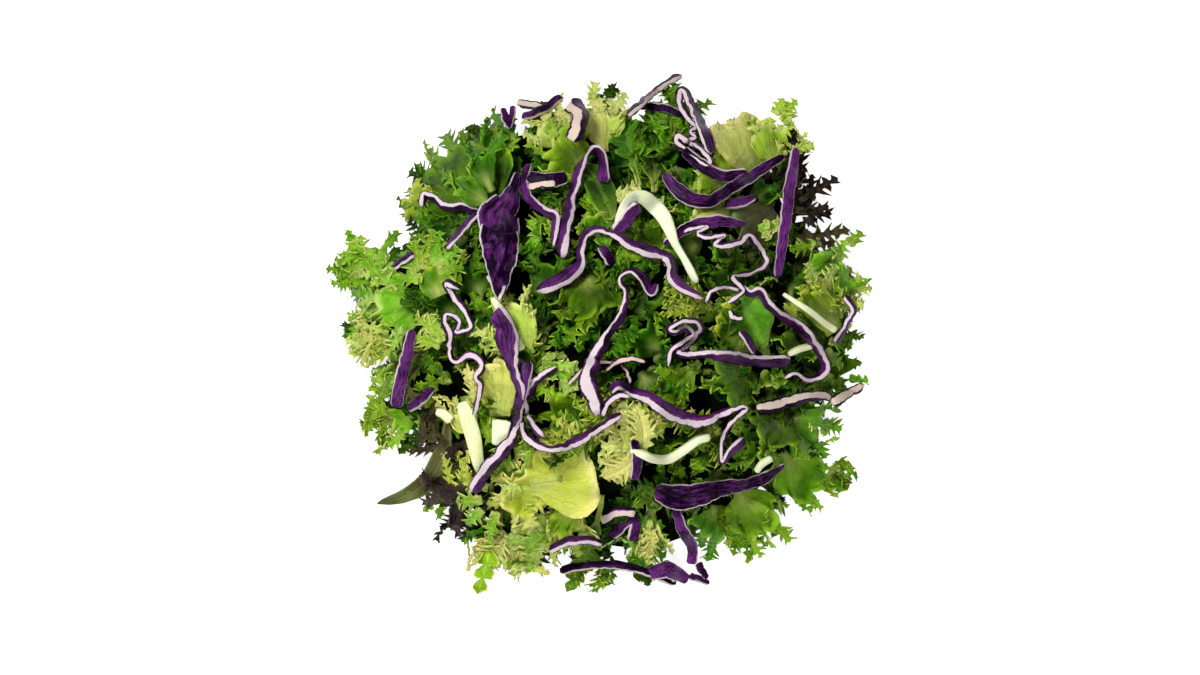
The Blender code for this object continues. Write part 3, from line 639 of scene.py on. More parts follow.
def spot(pixel, height):
    """Place on the photograph of a point this high, as x and y."""
    scale = PIXEL * (1.0 - height / VIEW_HEIGHT)
    x = (VIEW_CENTRE_PX[0] - ORIGIN_PX[0]) * PIXEL + (pixel[0] - VIEW_CENTRE_PX[0]) * scale
    y = (ORIGIN_PX[1] - VIEW_CENTRE_PX[1]) * PIXEL + (VIEW_CENTRE_PX[1] - pixel[1]) * scale
    return np.array((x, y))


def laid_spot(pixel, lift):
    """Place of a photo pixel on the heap, lifted over it."""
    height = 0.0
    for _ in range(4):
        x, y = spot(pixel, height)
        height = max(float(heap_top(x, y)) + lift, 0.0)
    return spot(pixel, height)


class Sheet(NamedTuple):
    """A closed flat grid: each vertex's column, row and side, and the faces between them."""

    column: np.ndarray
    row: np.ndarray
    side: np.ndarray
    faces: np.ndarray


SHEETS = {}


def sheet(columns, rows):
    """Closed sheet of that many columns and rows, made once for each size."""
    if (columns, rows) not in SHEETS:
        bm = bmesh.new()
        bmesh.ops.create_grid(bm, x_segments=columns, y_segments=rows, size=1.0)
        bmesh.ops.solidify(bm, geom=bm.faces[:], thickness=0.5)
        bmesh.ops.recalc_face_normals(bm, faces=bm.faces[:])
        bm.verts.index_update()
        points = np.array([vert.co for vert in bm.verts])
        faces = np.array([[vert.index for vert in face.verts] for face in bm.faces])
        bm.free()
        middle = (points[:, 2].min() + points[:, 2].max()) / 2.0
        SHEETS[columns, rows] = Sheet(
            np.rint((points[:, 0] + 1.0) / 2.0 * columns).astype(int),
            np.rint((points[:, 1] + 1.0) / 2.0 * rows).astype(int),
            np.where(points[:, 2] > middle, 1.0, -1.0),
            faces,
        )
    return SHEETS[columns, rows]


class Build:
    """Gathers many closed shells, and makes one mesh object of them."""

    def __init__(self):
        self.points, self.quads, self.fans, self.uvs, self.looks = [], [], [], [], []
        self.count = 0

    def add(self, points, quads, uv, look, fans=None):
        """Takes in one closed shell: its vertices, its faces of four, and the faces of three at its ends."""
        self.points.append(points)
        self.quads.append(quads + self.count)
        if fans is not None:
            self.fans.append(fans + self.count)
        self.uvs.append(uv)
        self.looks.append(look)
        self.count += len(points)

    def piece(self, name, material, slot):
        """The finished object, riding on the part and standing for its solid."""
        quads = np.concatenate(self.quads)
        fans = np.concatenate(self.fans) if self.fans else np.zeros((0, 3), dtype=int)
        triangles = 2 * len(quads) + len(fans)
        if triangles > MOST_TRIANGLES:
            raise RuntimeError(f"{name} has {triangles} triangles")
        points = np.concatenate(self.points)
        corners = np.concatenate((quads.ravel(), fans.ravel()))
        starts = np.concatenate((np.arange(len(quads)) * 4, quads.size + np.arange(len(fans)) * 3))
        mesh = bpy.data.meshes.new(name)
        mesh.vertices.add(len(points))
        mesh.vertices.foreach_set("co", points.astype(np.float32).ravel())
        mesh.loops.add(len(corners))
        mesh.loops.foreach_set("vertex_index", corners.astype(np.int32))
        mesh.polygons.add(len(starts))
        mesh.polygons.foreach_set("loop_start", starts.astype(np.int32))
        mesh.polygons.foreach_set("use_smooth", np.arange(len(starts)) < len(quads))
        mesh.update(calc_edges=True)
        layer = mesh.uv_layers.new(name="leaf_map")
        layer.data.foreach_set("uv", np.concatenate(self.uvs)[corners].astype(np.float32).ravel())
        look = mesh.attributes.new("look", "FLOAT_COLOR", "POINT")
        look.data.foreach_set("color", np.concatenate(self.looks).astype(np.float32).ravel())
        mesh.materials.append(material)
        return finished(bpy.data.objects.new(name, mesh))


def finished(piece):
    """Puts a piece in the scene and ties it to the part."""
    bpy.context.scene.collection.objects.link(piece)
    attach(piece, "root")
    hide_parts(NODE)
    return piece


def lobed_margin(cut, lobes, rng, depth):
    """Shift along the margin and length at every column, each notch and lobe a little different."""
    shape = np.array(cut.edge)
    steps = len(shape)
    shift = shape[:, 0] - (np.arange(steps) / steps - 0.5)
    mirrored = np.roll(-shift[::-1], 1), np.roll(shape[::-1, 1], 1)
    shifts, outs = [], []
    for _ in range(lobes):
        one = (shift, shape[:, 1]) if rng.uniform() < 0.5 else mirrored
        shifts.append(one[0] * rng.uniform(0.7, 1.3))
        outs.append(one[1])
    shifts = np.append(np.concatenate(shifts), 0.0) + rng.normal(0.0, 0.03, lobes * steps + 1)
    outs = np.append(np.concatenate(outs), 0.0) * (1.0 + rng.uniform(-0.14, 0.14, lobes * steps + 1))
    which = np.arange(lobes * steps + 1) / steps
    size = np.interp(which, np.arange(lobes + 1) + 0.5, rng.uniform(0.80, 1.08, lobes + 1))
    notch = np.interp(which, np.arange(lobes + 1), rng.uniform(0.7, 1.2, lobes + 1))
    return shifts, size * (1.0 - depth * notch * (1.0 - outs))


def per_lobe(values, which, bump):
    """One value a lobe, faded to nothing at its notches."""
    index = np.minimum(which.astype(int), len(values) - 1)
    return values[index] * bump


def crumple(x, y, half, rng):
    """Soft folds across a leaf, running every way."""
    high = np.zeros(x.shape)
    for _ in range(CRUMPLES):
        turn, start = rng.uniform(0.0, 2.0 * math.pi, 2)
        wave = half * rng.uniform(0.45, 1.2)
        across = (x * math.cos(turn) + y * math.sin(turn)) / wave
        high += CRUMPLE_SLOPE * wave * np.sin(across * 2.0 * math.pi + start)
    return high


def fan_form(cut, length, half, rows, rng):
    """Middle surface of a leaf whose lobes fan out from its foot."""
    spread = min((2.0 * half / length) ** 1.1, 2.35)
    side_lobe = min(cut.side_lobe_px * PIXEL, 0.5 * length)
    length = length - 0.80 * side_lobe
    arc = 2.0 * spread * length * 0.8
    lobes = int(np.clip(round(arc / (cut.lobe_px * PIXEL)), 3, 14))
    columns = lobes * len(cut.edge)
    depth = min(cut.lobe_reach_px * PIXEL / length, 0.5)
    shifts, edge = lobed_margin(cut, lobes, rng, depth)
    outwards, sideways_on = np.linspace(0.0, 1.0, rows + 1) ** 0.75, np.linspace(-1.0, 1.0, columns + 1)
    u, v = np.meshgrid(outwards, sideways_on, indexing="ij")
    which = (v + 1.0) / 2.0 * lobes
    phase = which - np.floor(which)
    bump = np.sin(math.pi * phase) ** 2
    grown = smooth_step(1.0 - 1.5 * depth, 1.0, u)
    reach = length * (1.0 - 0.40 * np.abs(v) ** 3) * (1.0 + smooth_step(0.1, 1.0, u) * (edge[None, :] - 1.0))
    turn = v * spread * (0.12 + 0.88 * smooth_step(cut.stalk, cut.stalk + 0.35, u))
    turn += shifts[None, :] * 2.0 * spread / lobes * grown
    turn += per_lobe(rng.normal(0.0, 0.12, lobes), which, bump) * grown
    beat = math.pi * cut.waves * v + rng.uniform(0.0, ANY_PHASE)
    second = math.pi * cut.waves * 2.7 * v + rng.uniform(0.0, ANY_PHASE)
    turn -= 0.9 * cut.ruffle / cut.waves * np.sin(2.0 * beat) * u ** 2
    x = u * reach * np.cos(turn)
    y = u * reach * np.sin(turn) + v * cut.stalk_mm * MM / 2.0 * (1.0 - 0.7 * u)
    z = cut.cup * y * y / length
    z += cut.ruffle * half * u ** 1.8 * np.sin(beat)
    z += 0.45 * cut.ruffle * half * u ** 2.5 * np.sin(second)
    lobe_size = cut.lobe_px * PIXEL
    z += per_lobe(rng.normal(0.25, 1.0, lobes), which, bump) * cut.curl * lobe_size * grown
    lean = per_lobe(rng.normal(0.0, 1.0, lobes), which, np.sin(2.0 * math.pi * phase))
    z += lean * cut.curl * 0.8 * lobe_size * grown
    z += rng.normal(0.0, 0.25 * MM, u.shape) * grown + crumple(x, y, half, rng)
    points = np.stack((x, y, z), axis=-1)
    pale = (1.0 - smooth_step(0.0, 0.62, u)) * np.exp(-2.0 * v * v)
    rim = rows - max(rows // 5, 1)
    sites = []
    for lobe in range(lobes if side_lobe else 0):
        j = round((lobe + 0.5) * len(cut.edge))
        outward = points[rim, j] - points[rim - 1, j]
        sites.append((points[rim, j], outward, points[rim, j - 1] - points[rim, j + 1], side_lobe))
    return Form(points, np.stack((which, u), axis=-1), pale, np.zeros(u.shape), tuple(sites))


def feather_form(cut, length, half, rows, rng):
    """Middle surface of a leaf whose lobes stand either side of a midrib."""
    lobes = int(np.clip(round(length / (cut.lobe_px * PIXEL)), 2, 12))
    columns = lobes * len(cut.edge)
    side_lobe = min(cut.side_lobe_px * PIXEL, 0.8 * half)
    half = half - 0.80 * side_lobe
    depth = min(cut.lobe_reach_px * PIXEL / half, 0.92)
    margins = [lobed_margin(cut, lobes, rng, depth) for _ in range(2)]
    sideways_on, outwards = np.linspace(-1.0, 1.0, rows + 1), np.linspace(0.0, 1.0, columns + 1)
    t, s = np.meshgrid(sideways_on, outwards, indexing="ij")
    which = s * lobes
    bulge = smooth_step(cut.stalk * 0.7, cut.stalk + 0.35, s) * np.clip(1.0 - s ** 3.5, 0.0, 1.0) ** 0.5
    shifts = np.where(t < 0.0, margins[0][0][None, :], margins[1][0][None, :])
    edge = np.where(t < 0.0, margins[0][1][None, :], margins[1][1][None, :])
    rib = cut.stalk_mm * MM / 2.0 * (1.0 - 0.8 * s)
    width = rib + half * bulge * np.clip(edge, 0.05, None)
    swept = 0.45 * half * bulge * edge * np.abs(t) ** 1.4
    x = s * length + (swept + shifts * length / lobes * t * t) * (1.0 - smooth_step(0.85, 1.0, s))
    y = t * width
    sides = np.where(t < 0.0, rng.uniform(0.0, ANY_PHASE), rng.uniform(0.0, ANY_PHASE))
    beat = 2.0 * math.pi * cut.waves * s + sides
    z = cut.cup * np.abs(y) + cut.ruffle * half * t * t * np.sin(beat)
    z += 0.25 * length * rng.normal(0.1, 0.6) * (s - 0.4) ** 2
    z += 0.4 * cut.ruffle * half * t * t * np.sin(2.3 * beat)
    phase = which - np.floor(which)
    bump = np.sin(math.pi * phase) ** 2
    lobe_size = min(cut.lobe_px * PIXEL, half)
    for side in (t < 0.0, t > 0.0):
        z += side * per_lobe(rng.normal(0.3, 1.0, lobes), which, bump) * cut.curl * lobe_size * np.abs(t) ** 3
        slant = per_lobe(rng.normal(0.0, 1.0, lobes), which, np.sin(2.0 * math.pi * phase))
        z += side * slant * cut.curl * 0.8 * lobe_size * t * t
    z += crumple(x, y, half, rng)
    points = np.stack((x, y, z), axis=-1)
    pale = (1.0 - smooth_step(0.0, 0.45, s)) * 0.8
    middle = rows // 2
    sites = []
    for lobe in range(lobes if side_lobe else 0):
        j = round((lobe + 0.5) * len(cut.edge))
        forward = points[middle, j + 1] - points[middle, j - 1]
        forward = forward / np.linalg.norm(forward)
        size = side_lobe * smooth_step(-0.1, 0.42, s[0, j])
        for rim, inner in ((1, 2), (rows - 1, rows - 2)):
            outward = points[rim, j] - points[inner, j]
            outward = outward / np.linalg.norm(outward) + 0.7 * forward
            sites.append((points[rim, j], outward, np.cross(UP, outward), size))
    if side_lobe:
        outward = points[middle, -1] - points[middle, -4]
        aside = np.cross(UP, outward)
        for turn in (-0.6, 0.0, 0.6):
            sites.append((points[middle, -3], outward + turn * aside, aside - turn * outward, side_lobe))
    return Form(points, np.stack((which, np.abs(t)), axis=-1), pale, np.ones(s.shape), tuple(sites))


def turned(first, second, angle):
    """Two directions turned in their own plane by an angle."""
    return (math.cos(angle) * first + math.sin(angle) * second,
            math.cos(angle) * second - math.sin(angle) * first)


def lobe_forms(sites, narrow, rows, rng):
    """Toothed lobes standing on a leaf's margin, each turned and tilted a little."""
    for place, outward, aside, size in sites:
        size = size * rng.uniform(0.65, 1.2)
        outward = outward / np.linalg.norm(outward)
        normal = np.cross(outward, aside)
        normal = normal / np.linalg.norm(normal)
        yaw, pitch = rng.normal(0.0, 0.30), rng.normal(0.15, 0.45)
        outward, aside = turned(outward, np.cross(normal, outward), yaw)
        outward, normal = turned(outward, normal, pitch)
        lobe = feather_form(CUTS["lobe"], size, size * narrow * rng.uniform(0.8, 1.3), rows, rng)
        x, y, z = np.moveaxis(lobe.points[..., None], -2, 0)
        points = place + x * outward + y * aside + z * normal
        yield lobe._replace(points=points, pale=lobe.pale * 0.0, midrib=lobe.midrib * 0.5)


def laid(points, leaf, foot, direction, length):
    """Leaf points laid from their own frame over the heap."""
    x, y, z = points[..., 0], points[..., 1], points[..., 2]
    along = np.clip(x / length, 0.0, 1.1)
    across = np.array((-direction[1], direction[0]))
    bow = leaf.bow_px * PIXEL * 4.0 * along * (1.0 - along)
    plan = foot + x[..., None] * direction + (y + bow)[..., None] * across
    top = heap_top(plan[..., 0], plan[..., 1])
    rise = leaf.foot_mm + (leaf.lift_mm - leaf.foot_mm) * smooth_step(0.0, 0.55, along)
    height = top + rise * MM + z
    height = FLOOR_GAP + FLOOR_SOFTNESS * np.logaddexp(0.0, (height - FLOOR_GAP) / FLOOR_SOFTNESS)
    height = np.minimum(height, CAD_BOX[1][2] - TOP_GAP)
    return np.concatenate((plan, height[..., None]), axis=-1)


def surface_normals(grid):
    """Unit normals of a grid of points."""
    normals = np.cross(np.gradient(grid, axis=1), np.gradient(grid, axis=0))
    return normals / np.maximum(np.linalg.norm(normals, axis=-1, keepdims=True), 1e-12)


def add_leaf(build, leaf, rng, rows, tint):
    """One leaf and the lobes on its margin, each a thin closed solid."""
    cut = CUTS[leaf.cut]
    foot, tip = laid_spot(leaf.foot, leaf.foot_mm * MM), laid_spot(leaf.tip, leaf.lift_mm * MM)
    length = float(np.linalg.norm(tip - foot))
    direction = (tip - foot) / length
    form = (feather_form if cut.feathered else fan_form)(cut, length, leaf.half_px * PIXEL, rows, rng)
    roll, pitch = rng.normal(0.0, ROLL), rng.normal(0.0, PITCH)
    lobe_rows = 4 if rows > 5 else 2
    for number, part in enumerate((form, *lobe_forms(form.sites, cut.side_lobe_half, lobe_rows, rng))):
        points = part.points.copy()
        points[..., 2] += points[..., 1] * roll + points[..., 0] * pitch
        grid = laid(points, leaf, foot, direction, length)
        normals = surface_normals(grid)
        thick = cut.thickness_mm * MM / 2.0 * (1.0 + 1.6 * part.pale)
        shell = sheet(grid.shape[1] - 1, grid.shape[0] - 1)
        at = (shell.row, shell.column)
        solid = grid[at] + normals[at] * (thick[at] * shell.side)[:, None]
        solid[:, 2] = np.maximum(solid[:, 2], FLOOR_GAP / 2.0)
        shade = leaf.shade + (rng.uniform(0.04, 0.18) if number else 0.0)
        even = np.ones(part.pale.shape)
        look = np.stack((part.pale, even * tint, even * shade, part.midrib), axis=-1)
        build.add(solid, shell.faces, part.leaf_map[at], look[at])


def add_leaves(build, leaves, seed, rows):
    """Leaves with their own seeded differences."""
    rng = np.random.default_rng(seed)
    for leaf in leaves:
        add_leaf(build, leaf, rng, rows, rng.uniform(0.0, 1.0))


def fronds(frizz, rng):
    """The fronds of one curly head, fanned from its foot."""
    for number in range(frizz.count):
        share = (number + 0.5) / frizz.count - 0.5
        turn = math.radians(frizz.heading + frizz.spread * share + rng.uniform(-9.0, 9.0))
        reach = frizz.length_px * rng.uniform(0.65, 1.05)
        tip = (frizz.foot[0] + reach * math.cos(turn), frizz.foot[1] - reach * math.sin(turn))
        yield Leaf("frond", frizz.foot, tip, frizz.half_px * rng.uniform(0.8, 1.2),
                   float(np.clip(frizz.shade + rng.uniform(-0.1, 0.1), 0.0, 1.0)),
                   frizz.lift_mm + rng.uniform(-2.0, 4.0), frizz.lift_mm - 5.0, rng.uniform(-8.0, 8.0))


def scattered(scatter, count, rng):
    """Leaves of one scatter, spread evenly over the heap along a golden spiral."""
    for number in range(count):
        share = math.sqrt((number + scatter.first) / count)
        angle = number * GOLDEN_ANGLE + scatter.turned + rng.uniform(-0.2, 0.2)
        rim = float(rim_px(angle))
        radius = rim * share * scatter.reach
        foot = (ORIGIN_PX[0] + radius * math.cos(angle), ORIGIN_PX[1] - radius * math.sin(angle))
        heading = angle + rng.normal(0.0, scatter.aims[0] - scatter.aims[1] * share)
        length = rng.uniform(*scatter.lengths_px)
        if scatter.kept_in and share > 0.7:
            length = min(length, max(rim * 0.97 - radius, 0.0) + 12.0)
        tip = (foot[0] + length * math.cos(heading), foot[1] - length * math.sin(heading))
        kind = scatter.cuts[number % len(scatter.cuts)]
        halves = scatter.feathered_half if CUTS[kind].feathered else scatter.fanned_half
        half = length * rng.uniform(*halves)
        lift = rng.uniform(*scatter.lifts_mm)
        yield Leaf(kind, foot, tip, half, rng.uniform(*scatter.shades), lift, lift - scatter.foot_drop_mm,
                   rng.uniform(-5.0, 5.0))


def route_points(strip, count):
    """Catmull-Rom curve through a route of pixels, evenly spaced, and each point's share of the length."""
    ends = np.array(strip.route, dtype=float)
    ends = np.concatenate((2.0 * ends[:1] - ends[1:2], ends, 2.0 * ends[-1:] - ends[-2:-1]))
    pieces = []
    for k in range(len(ends) - 3):
        a, b, c, d = ends[k : k + 4]
        t = np.linspace(0.0, 1.0, 12, endpoint=False)[:, None]
        pieces.append(0.5 * (2.0 * b + (c - a) * t + (2.0 * a - 5.0 * b + 4.0 * c - d) * t ** 2
                             + (3.0 * b - a - 3.0 * c + d) * t ** 3))
    pieces.append(ends[-2:-1])
    path = np.concatenate(pieces)
    far = np.concatenate(([0.0], np.cumsum(np.linalg.norm(np.diff(path, axis=0), axis=1))))
    share = np.linspace(0.0, 1.0, count)
    return np.stack([np.interp(share * far[-1], far, path[:, k]) for k in range(2)], axis=-1), share, far[-1]


def along(values, share):
    """A short tuple of values spread over the route."""
    return np.interp(share, np.linspace(0.0, 1.0, len(values)), values)


def blurred(values, times):
    """Values with their quick changes smoothed away, ends kept."""
    for _ in range(times):
        padded = np.concatenate((values[:1], values, values[-1:]))
        values = (padded[:-2] + 2.0 * padded[1:-1] + padded[2:]) / 4.0
    return values


def strip_section():
    """A strip's section, round its edge: the share of its width and of its thickness at each point."""
    across = np.linspace(-0.97, 0.97, FACE_POINTS)
    top = [(w, 1.0) for w in across[::-1]]
    left = [(-1.0, q) for q in CUT_SHARES]
    bottom = [(w, -1.0) for w in across]
    right = [(1.0, -q) for q in CUT_SHARES]
    return np.array(top + left + bottom + right)


class Tube(NamedTuple):
    """A closed tube: each vertex's side and row, whether it is the middle of an end, and the faces."""

    side: np.ndarray
    row: np.ndarray
    centre: np.ndarray
    quads: np.ndarray
    fans: np.ndarray


TUBES = {}


def tube(sides, rows):
    """Closed tube of that many sides and rows, made once for each length."""
    if rows not in TUBES:
        bm = bmesh.new()
        bmesh.ops.create_cone(
            bm, cap_ends=True, cap_tris=False, segments=sides, radius1=1.0, radius2=1.0, depth=2.0)
        lengthwise = [edge for edge in bm.edges if abs(edge.verts[0].co.z - edge.verts[1].co.z) > 1.0]
        bmesh.ops.subdivide_edges(bm, edges=lengthwise, cuts=rows - 1)
        bmesh.ops.poke(bm, faces=[face for face in bm.faces if len(face.verts) > 4])
        bmesh.ops.recalc_face_normals(bm, faces=bm.faces[:])
        bm.verts.index_update()
        points = np.array([vert.co for vert in bm.verts])
        quads, fans = (
            np.array([[vert.index for vert in face.verts] for face in bm.faces if len(face.verts) == corners])
            for corners in (4, 3))
        bm.free()
        angle = np.mod(np.arctan2(points[:, 1], points[:, 0]) / (2.0 * math.pi) + 1e-6, 1.0)
        TUBES[rows] = Tube(
            np.rint(angle * sides).astype(int) % sides,
            np.rint((points[:, 2] + 1.0) / 2.0 * rows).astype(int),
            np.hypot(points[:, 0], points[:, 1]) < 0.5,
            quads,
            fans,
        )
    return TUBES[rows]


def tops():
    """What lies uppermost: ray casting trees of the leaves made so far."""
    found = []
    for name in LEAF_PIECES:
        mesh = bpy.data.objects[name].data
        points = np.empty(len(mesh.vertices) * 3, dtype=np.float32)
        mesh.vertices.foreach_get("co", points)
        faces = np.empty(len(mesh.loops), dtype=np.int32)
        mesh.loops.foreach_get("vertex_index", faces)
        found.append(BVHTree.FromPolygons(points.reshape(-1, 3).tolist(), faces.reshape(-1, 4).tolist()))
    return found


def top_at(trees, place):
    """Height of the uppermost leaf over a place, or of the surface where there is none."""
    start = Vector((place[0], place[1], RAY_START))
    hits = [tree.ray_cast(start, Vector(-UP))[0] for tree in trees]
    return max([hit.z for hit in hits if hit] + [0.0])


def sideways(line):
    """Unit directions square to a flat line, to its left."""
    across = np.gradient(line, axis=0)[:, ::-1] * np.array((-1.0, 1.0))
    return across / np.linalg.norm(across, axis=1, keepdims=True)


class Course(NamedTuple):
    """A strip's route in pixels, and the share of it, width, thickness and lean at each point."""

    pixels: np.ndarray
    share: np.ndarray
    width: np.ndarray
    cut: np.ndarray
    lean: np.ndarray


def strip_course(strip, rng, wobble):
    """The crinkled course of a strip, narrowed at both ends. A wobble of 1 is a shred's, and 0 is even."""
    reach = route_points(strip, 8)[2]
    count = int(np.clip(reach / SECTION_PX, *SECTIONS)) + 1
    pixels, share, reach = route_points(strip, count)

    def waver(times):
        """A random value at every point, smoothed this many times."""
        return blurred(rng.normal(0.0, 1.0, count), times)

    sway = CRINKLE_PX * wobble * (waver(2) + 1.5 * waver(12))
    pixels = pixels + sideways(pixels) * (sway * np.sin(np.pi * share))[:, None]
    narrowing = smooth_step(0.0, 0.03, share) * smooth_step(0.0, 0.03, 1.0 - share) * 0.45 + 0.55
    width = along(strip.width_px, share) * PIXEL * WIDTH_SPREAD * (1.0 + 0.08 * wobble * waver(8))
    cut = along(strip.cut_px, share) * PIXEL * CUT_SPREAD * (1.0 + 0.30 * wobble * waver(4))
    twist = wobble * 7.0 * np.sin(share * reach / 9.0 + rng.uniform(0.0, ANY_PHASE))
    lean = np.radians(along(strip.lean, share) + twist)
    return Course(pixels, share, width * narrowing, cut * narrowing, lean)


def resting_height(course, lift_mm, trees):
    """Height of a strip's middle line as it rests on the leaves under its width and bridges their gaps."""
    guess = np.array([float(heap_top(*spot(pixel, GUESSED_HEIGHT))) for pixel in course.pixels])
    places = np.array([spot(pixel, high) for pixel, high in zip(course.pixels, guess)])
    half = sideways(places) * (course.width * np.abs(np.cos(course.lean)) / 2.0)[:, None]
    shares = (-0.9, -0.4, 0.0, 0.4, 0.9)
    under = np.max([[top_at(trees, place) for place in places + half * share] for share in shares], axis=0)
    padded = np.pad(under, BRIDGED, mode="edge")
    under = np.max([padded[k : k + len(under)] for k in range(2 * BRIDGED + 1)], axis=0)
    under = blurred(np.maximum(under, guess - DEEPEST_DIP), REST_BLUR)
    upright = course.width / 2.0 * np.sin(course.lean)
    height = under + lift_mm * LIFT_SHARE * MM + upright * STANDING_SHARE
    height = np.minimum(height, CAD_BOX[1][2] - upright - TOP_GAP - 0.1 * MM)
    return np.maximum(height, FLOOR_GAP + upright + course.cut / 2.0)


def strip_axes(path, lean):
    """Directions of a strip's width and of its thickness at every point of its path."""
    step = np.gradient(path, axis=0)
    step[:, 2] *= 0.5
    step /= np.linalg.norm(step, axis=1, keepdims=True)
    left = np.cross(UP, step)
    left /= np.linalg.norm(left, axis=1, keepdims=True)
    rise = np.cross(step, left)
    flat, upright = np.cos(lean)[:, None], np.sin(lean)[:, None]
    return upright * rise - flat * left, flat * rise + upright * left


def add_strip(build, strip, trees, rng, wobble):
    """One shred or rib, resting on the leaves under it."""
    course = strip_course(strip, rng, wobble)
    height = resting_height(course, strip.lift_mm, trees)
    places = np.array([spot(pixel, high) for pixel, high in zip(course.pixels, height)])
    path = np.concatenate((places, height[:, None]), axis=1)
    wide, thick = strip_axes(path, course.lean)
    section = strip_section()
    shell = tube(len(section), len(path) - 1)
    row = shell.row
    w, q = np.where(shell.centre[:, None], 0.0, section[shell.side]).T
    width, share = course.width[row], course.share[row]
    bend = (0.35 - w * w) * 0.07 * width * (1.0 + 0.6 * np.sin(share * 5.0))
    crease = np.sin(4.2 * w + 2.2 * np.sin(share * 4.0) + 0.8)
    bend += 0.10 * width * smooth_step(*CREASED_WIDTHS, width) * crease
    points = (
        path[row]
        + wide[row] * (w * width / 2.0)[:, None]
        + thick[row] * (q * course.cut[row] / 2.0 + bend)[:, None]
    )
    points[:, 2] = np.maximum(points[:, 2], FLOOR_GAP / 2.0)
    even = np.ones(len(w))
    lying = np.abs(np.cos(course.lean))[row]
    look = np.stack((even * strip.cream, lying, even * strip.violet, share), axis=-1)
    build.add(points, shell.quads, np.stack((w, q), axis=-1), look, shell.fans)


class Nodes:
    """Short hand for a shader node tree."""

    def __init__(self, tree):
        self.tree = tree
        tree.nodes.clear()

    def add(self, kind, inputs=None, **settings):
        """A node with these settings, and its inputs linked or set."""
        node = self.tree.nodes.new(kind)
        for name, value in settings.items():
            setattr(node, name, value)
        for key, value in (inputs or {}).items():
            self.put(node.inputs[key], value)
        return node

    def put(self, socket, value):
        """Links an output to a socket, or sets it to a plain value."""
        if isinstance(value, bpy.types.NodeSocket):
            self.tree.links.new(value, socket)
        else:
            socket.default_value = value

    def maths(self, operation, a, b=0.0, clamp=False):
        """A sum, product or other operation on two values."""
        return self.add("ShaderNodeMath", {0: a, 1: b}, operation=operation, use_clamp=clamp).outputs[0]

    def swing(self, value, size):
        """A noise value moved to either side of zero, this far in all."""
        return self.maths("MULTIPLY", self.maths("SUBTRACT", value, 0.5), size)

    def span(self, value, low, high, start=0.0, end=1.0):
        """A value mapped from low and high to start and end, with a soft slope."""
        inputs = {"Value": value, "From Min": low, "From Max": high, "To Min": start, "To Max": end}
        return self.add("ShaderNodeMapRange", inputs, interpolation_type="SMOOTHSTEP").outputs["Result"]

    def mixed(self, share, a, b):
        """A share of colour b in colour a."""
        node = self.add("ShaderNodeMix", data_type="RGBA")
        self.put(node.inputs["Factor"], share)
        self.put(node.inputs[6], a)
        self.put(node.inputs[7], b)
        return node.outputs[2]

    def noise(self, place, scale, detail=2.0, rough=0.5):
        """Cloudy noise from 0 to 1."""
        inputs = {"Vector": place, "Scale": scale, "Detail": detail, "Roughness": rough}
        return self.add("ShaderNodeTexNoise", inputs).outputs["Fac"]

    def ramp(self, value, stops):
        """A colour read from a row of stops."""
        node = self.add("ShaderNodeValToRGB", {"Fac": value})
        elements = node.color_ramp.elements
        while len(elements) < len(stops):
            elements.new(0.5)
        for element, (place, colour) in zip(elements, stops):
            element.position = place
            element.color = colour
        return node.outputs["Color"]

    def looks(self):
        """A piece's own map and look: the parts of each, and the look's alpha."""
        uv = self.add("ShaderNodeUVMap", uv_map="leaf_map").outputs["UV"]
        look = self.add("ShaderNodeAttribute", attribute_name="look").outputs
        parts = self.add("ShaderNodeSeparateColor", {"Color": look["Color"]}).outputs
        return self.add("ShaderNodeSeparateXYZ", {"Vector": uv}).outputs, parts, look["Alpha"]

    def end(self, shader, kind="ShaderNodeOutputMaterial"):
        """Gives a shader to the output."""
        self.add(kind, {"Surface": shader})


def new_material(name):
    """An empty material and the short hand of its nodes."""
    material = bpy.data.materials.new(name)
    material.use_nodes = True
    return material, Nodes(material.node_tree)


def new_group(name, outputs):
    """An empty shader node group with these outputs, its nodes' short hand, and the sockets to put into."""
    group = bpy.data.node_groups.new(name, "ShaderNodeTree")
    for label, kind in outputs:
        group.interface.new_socket(name=label, in_out="OUTPUT", socket_type=kind)
    nodes = Nodes(group)
    return group, nodes, nodes.add("NodeGroupOutput").inputs


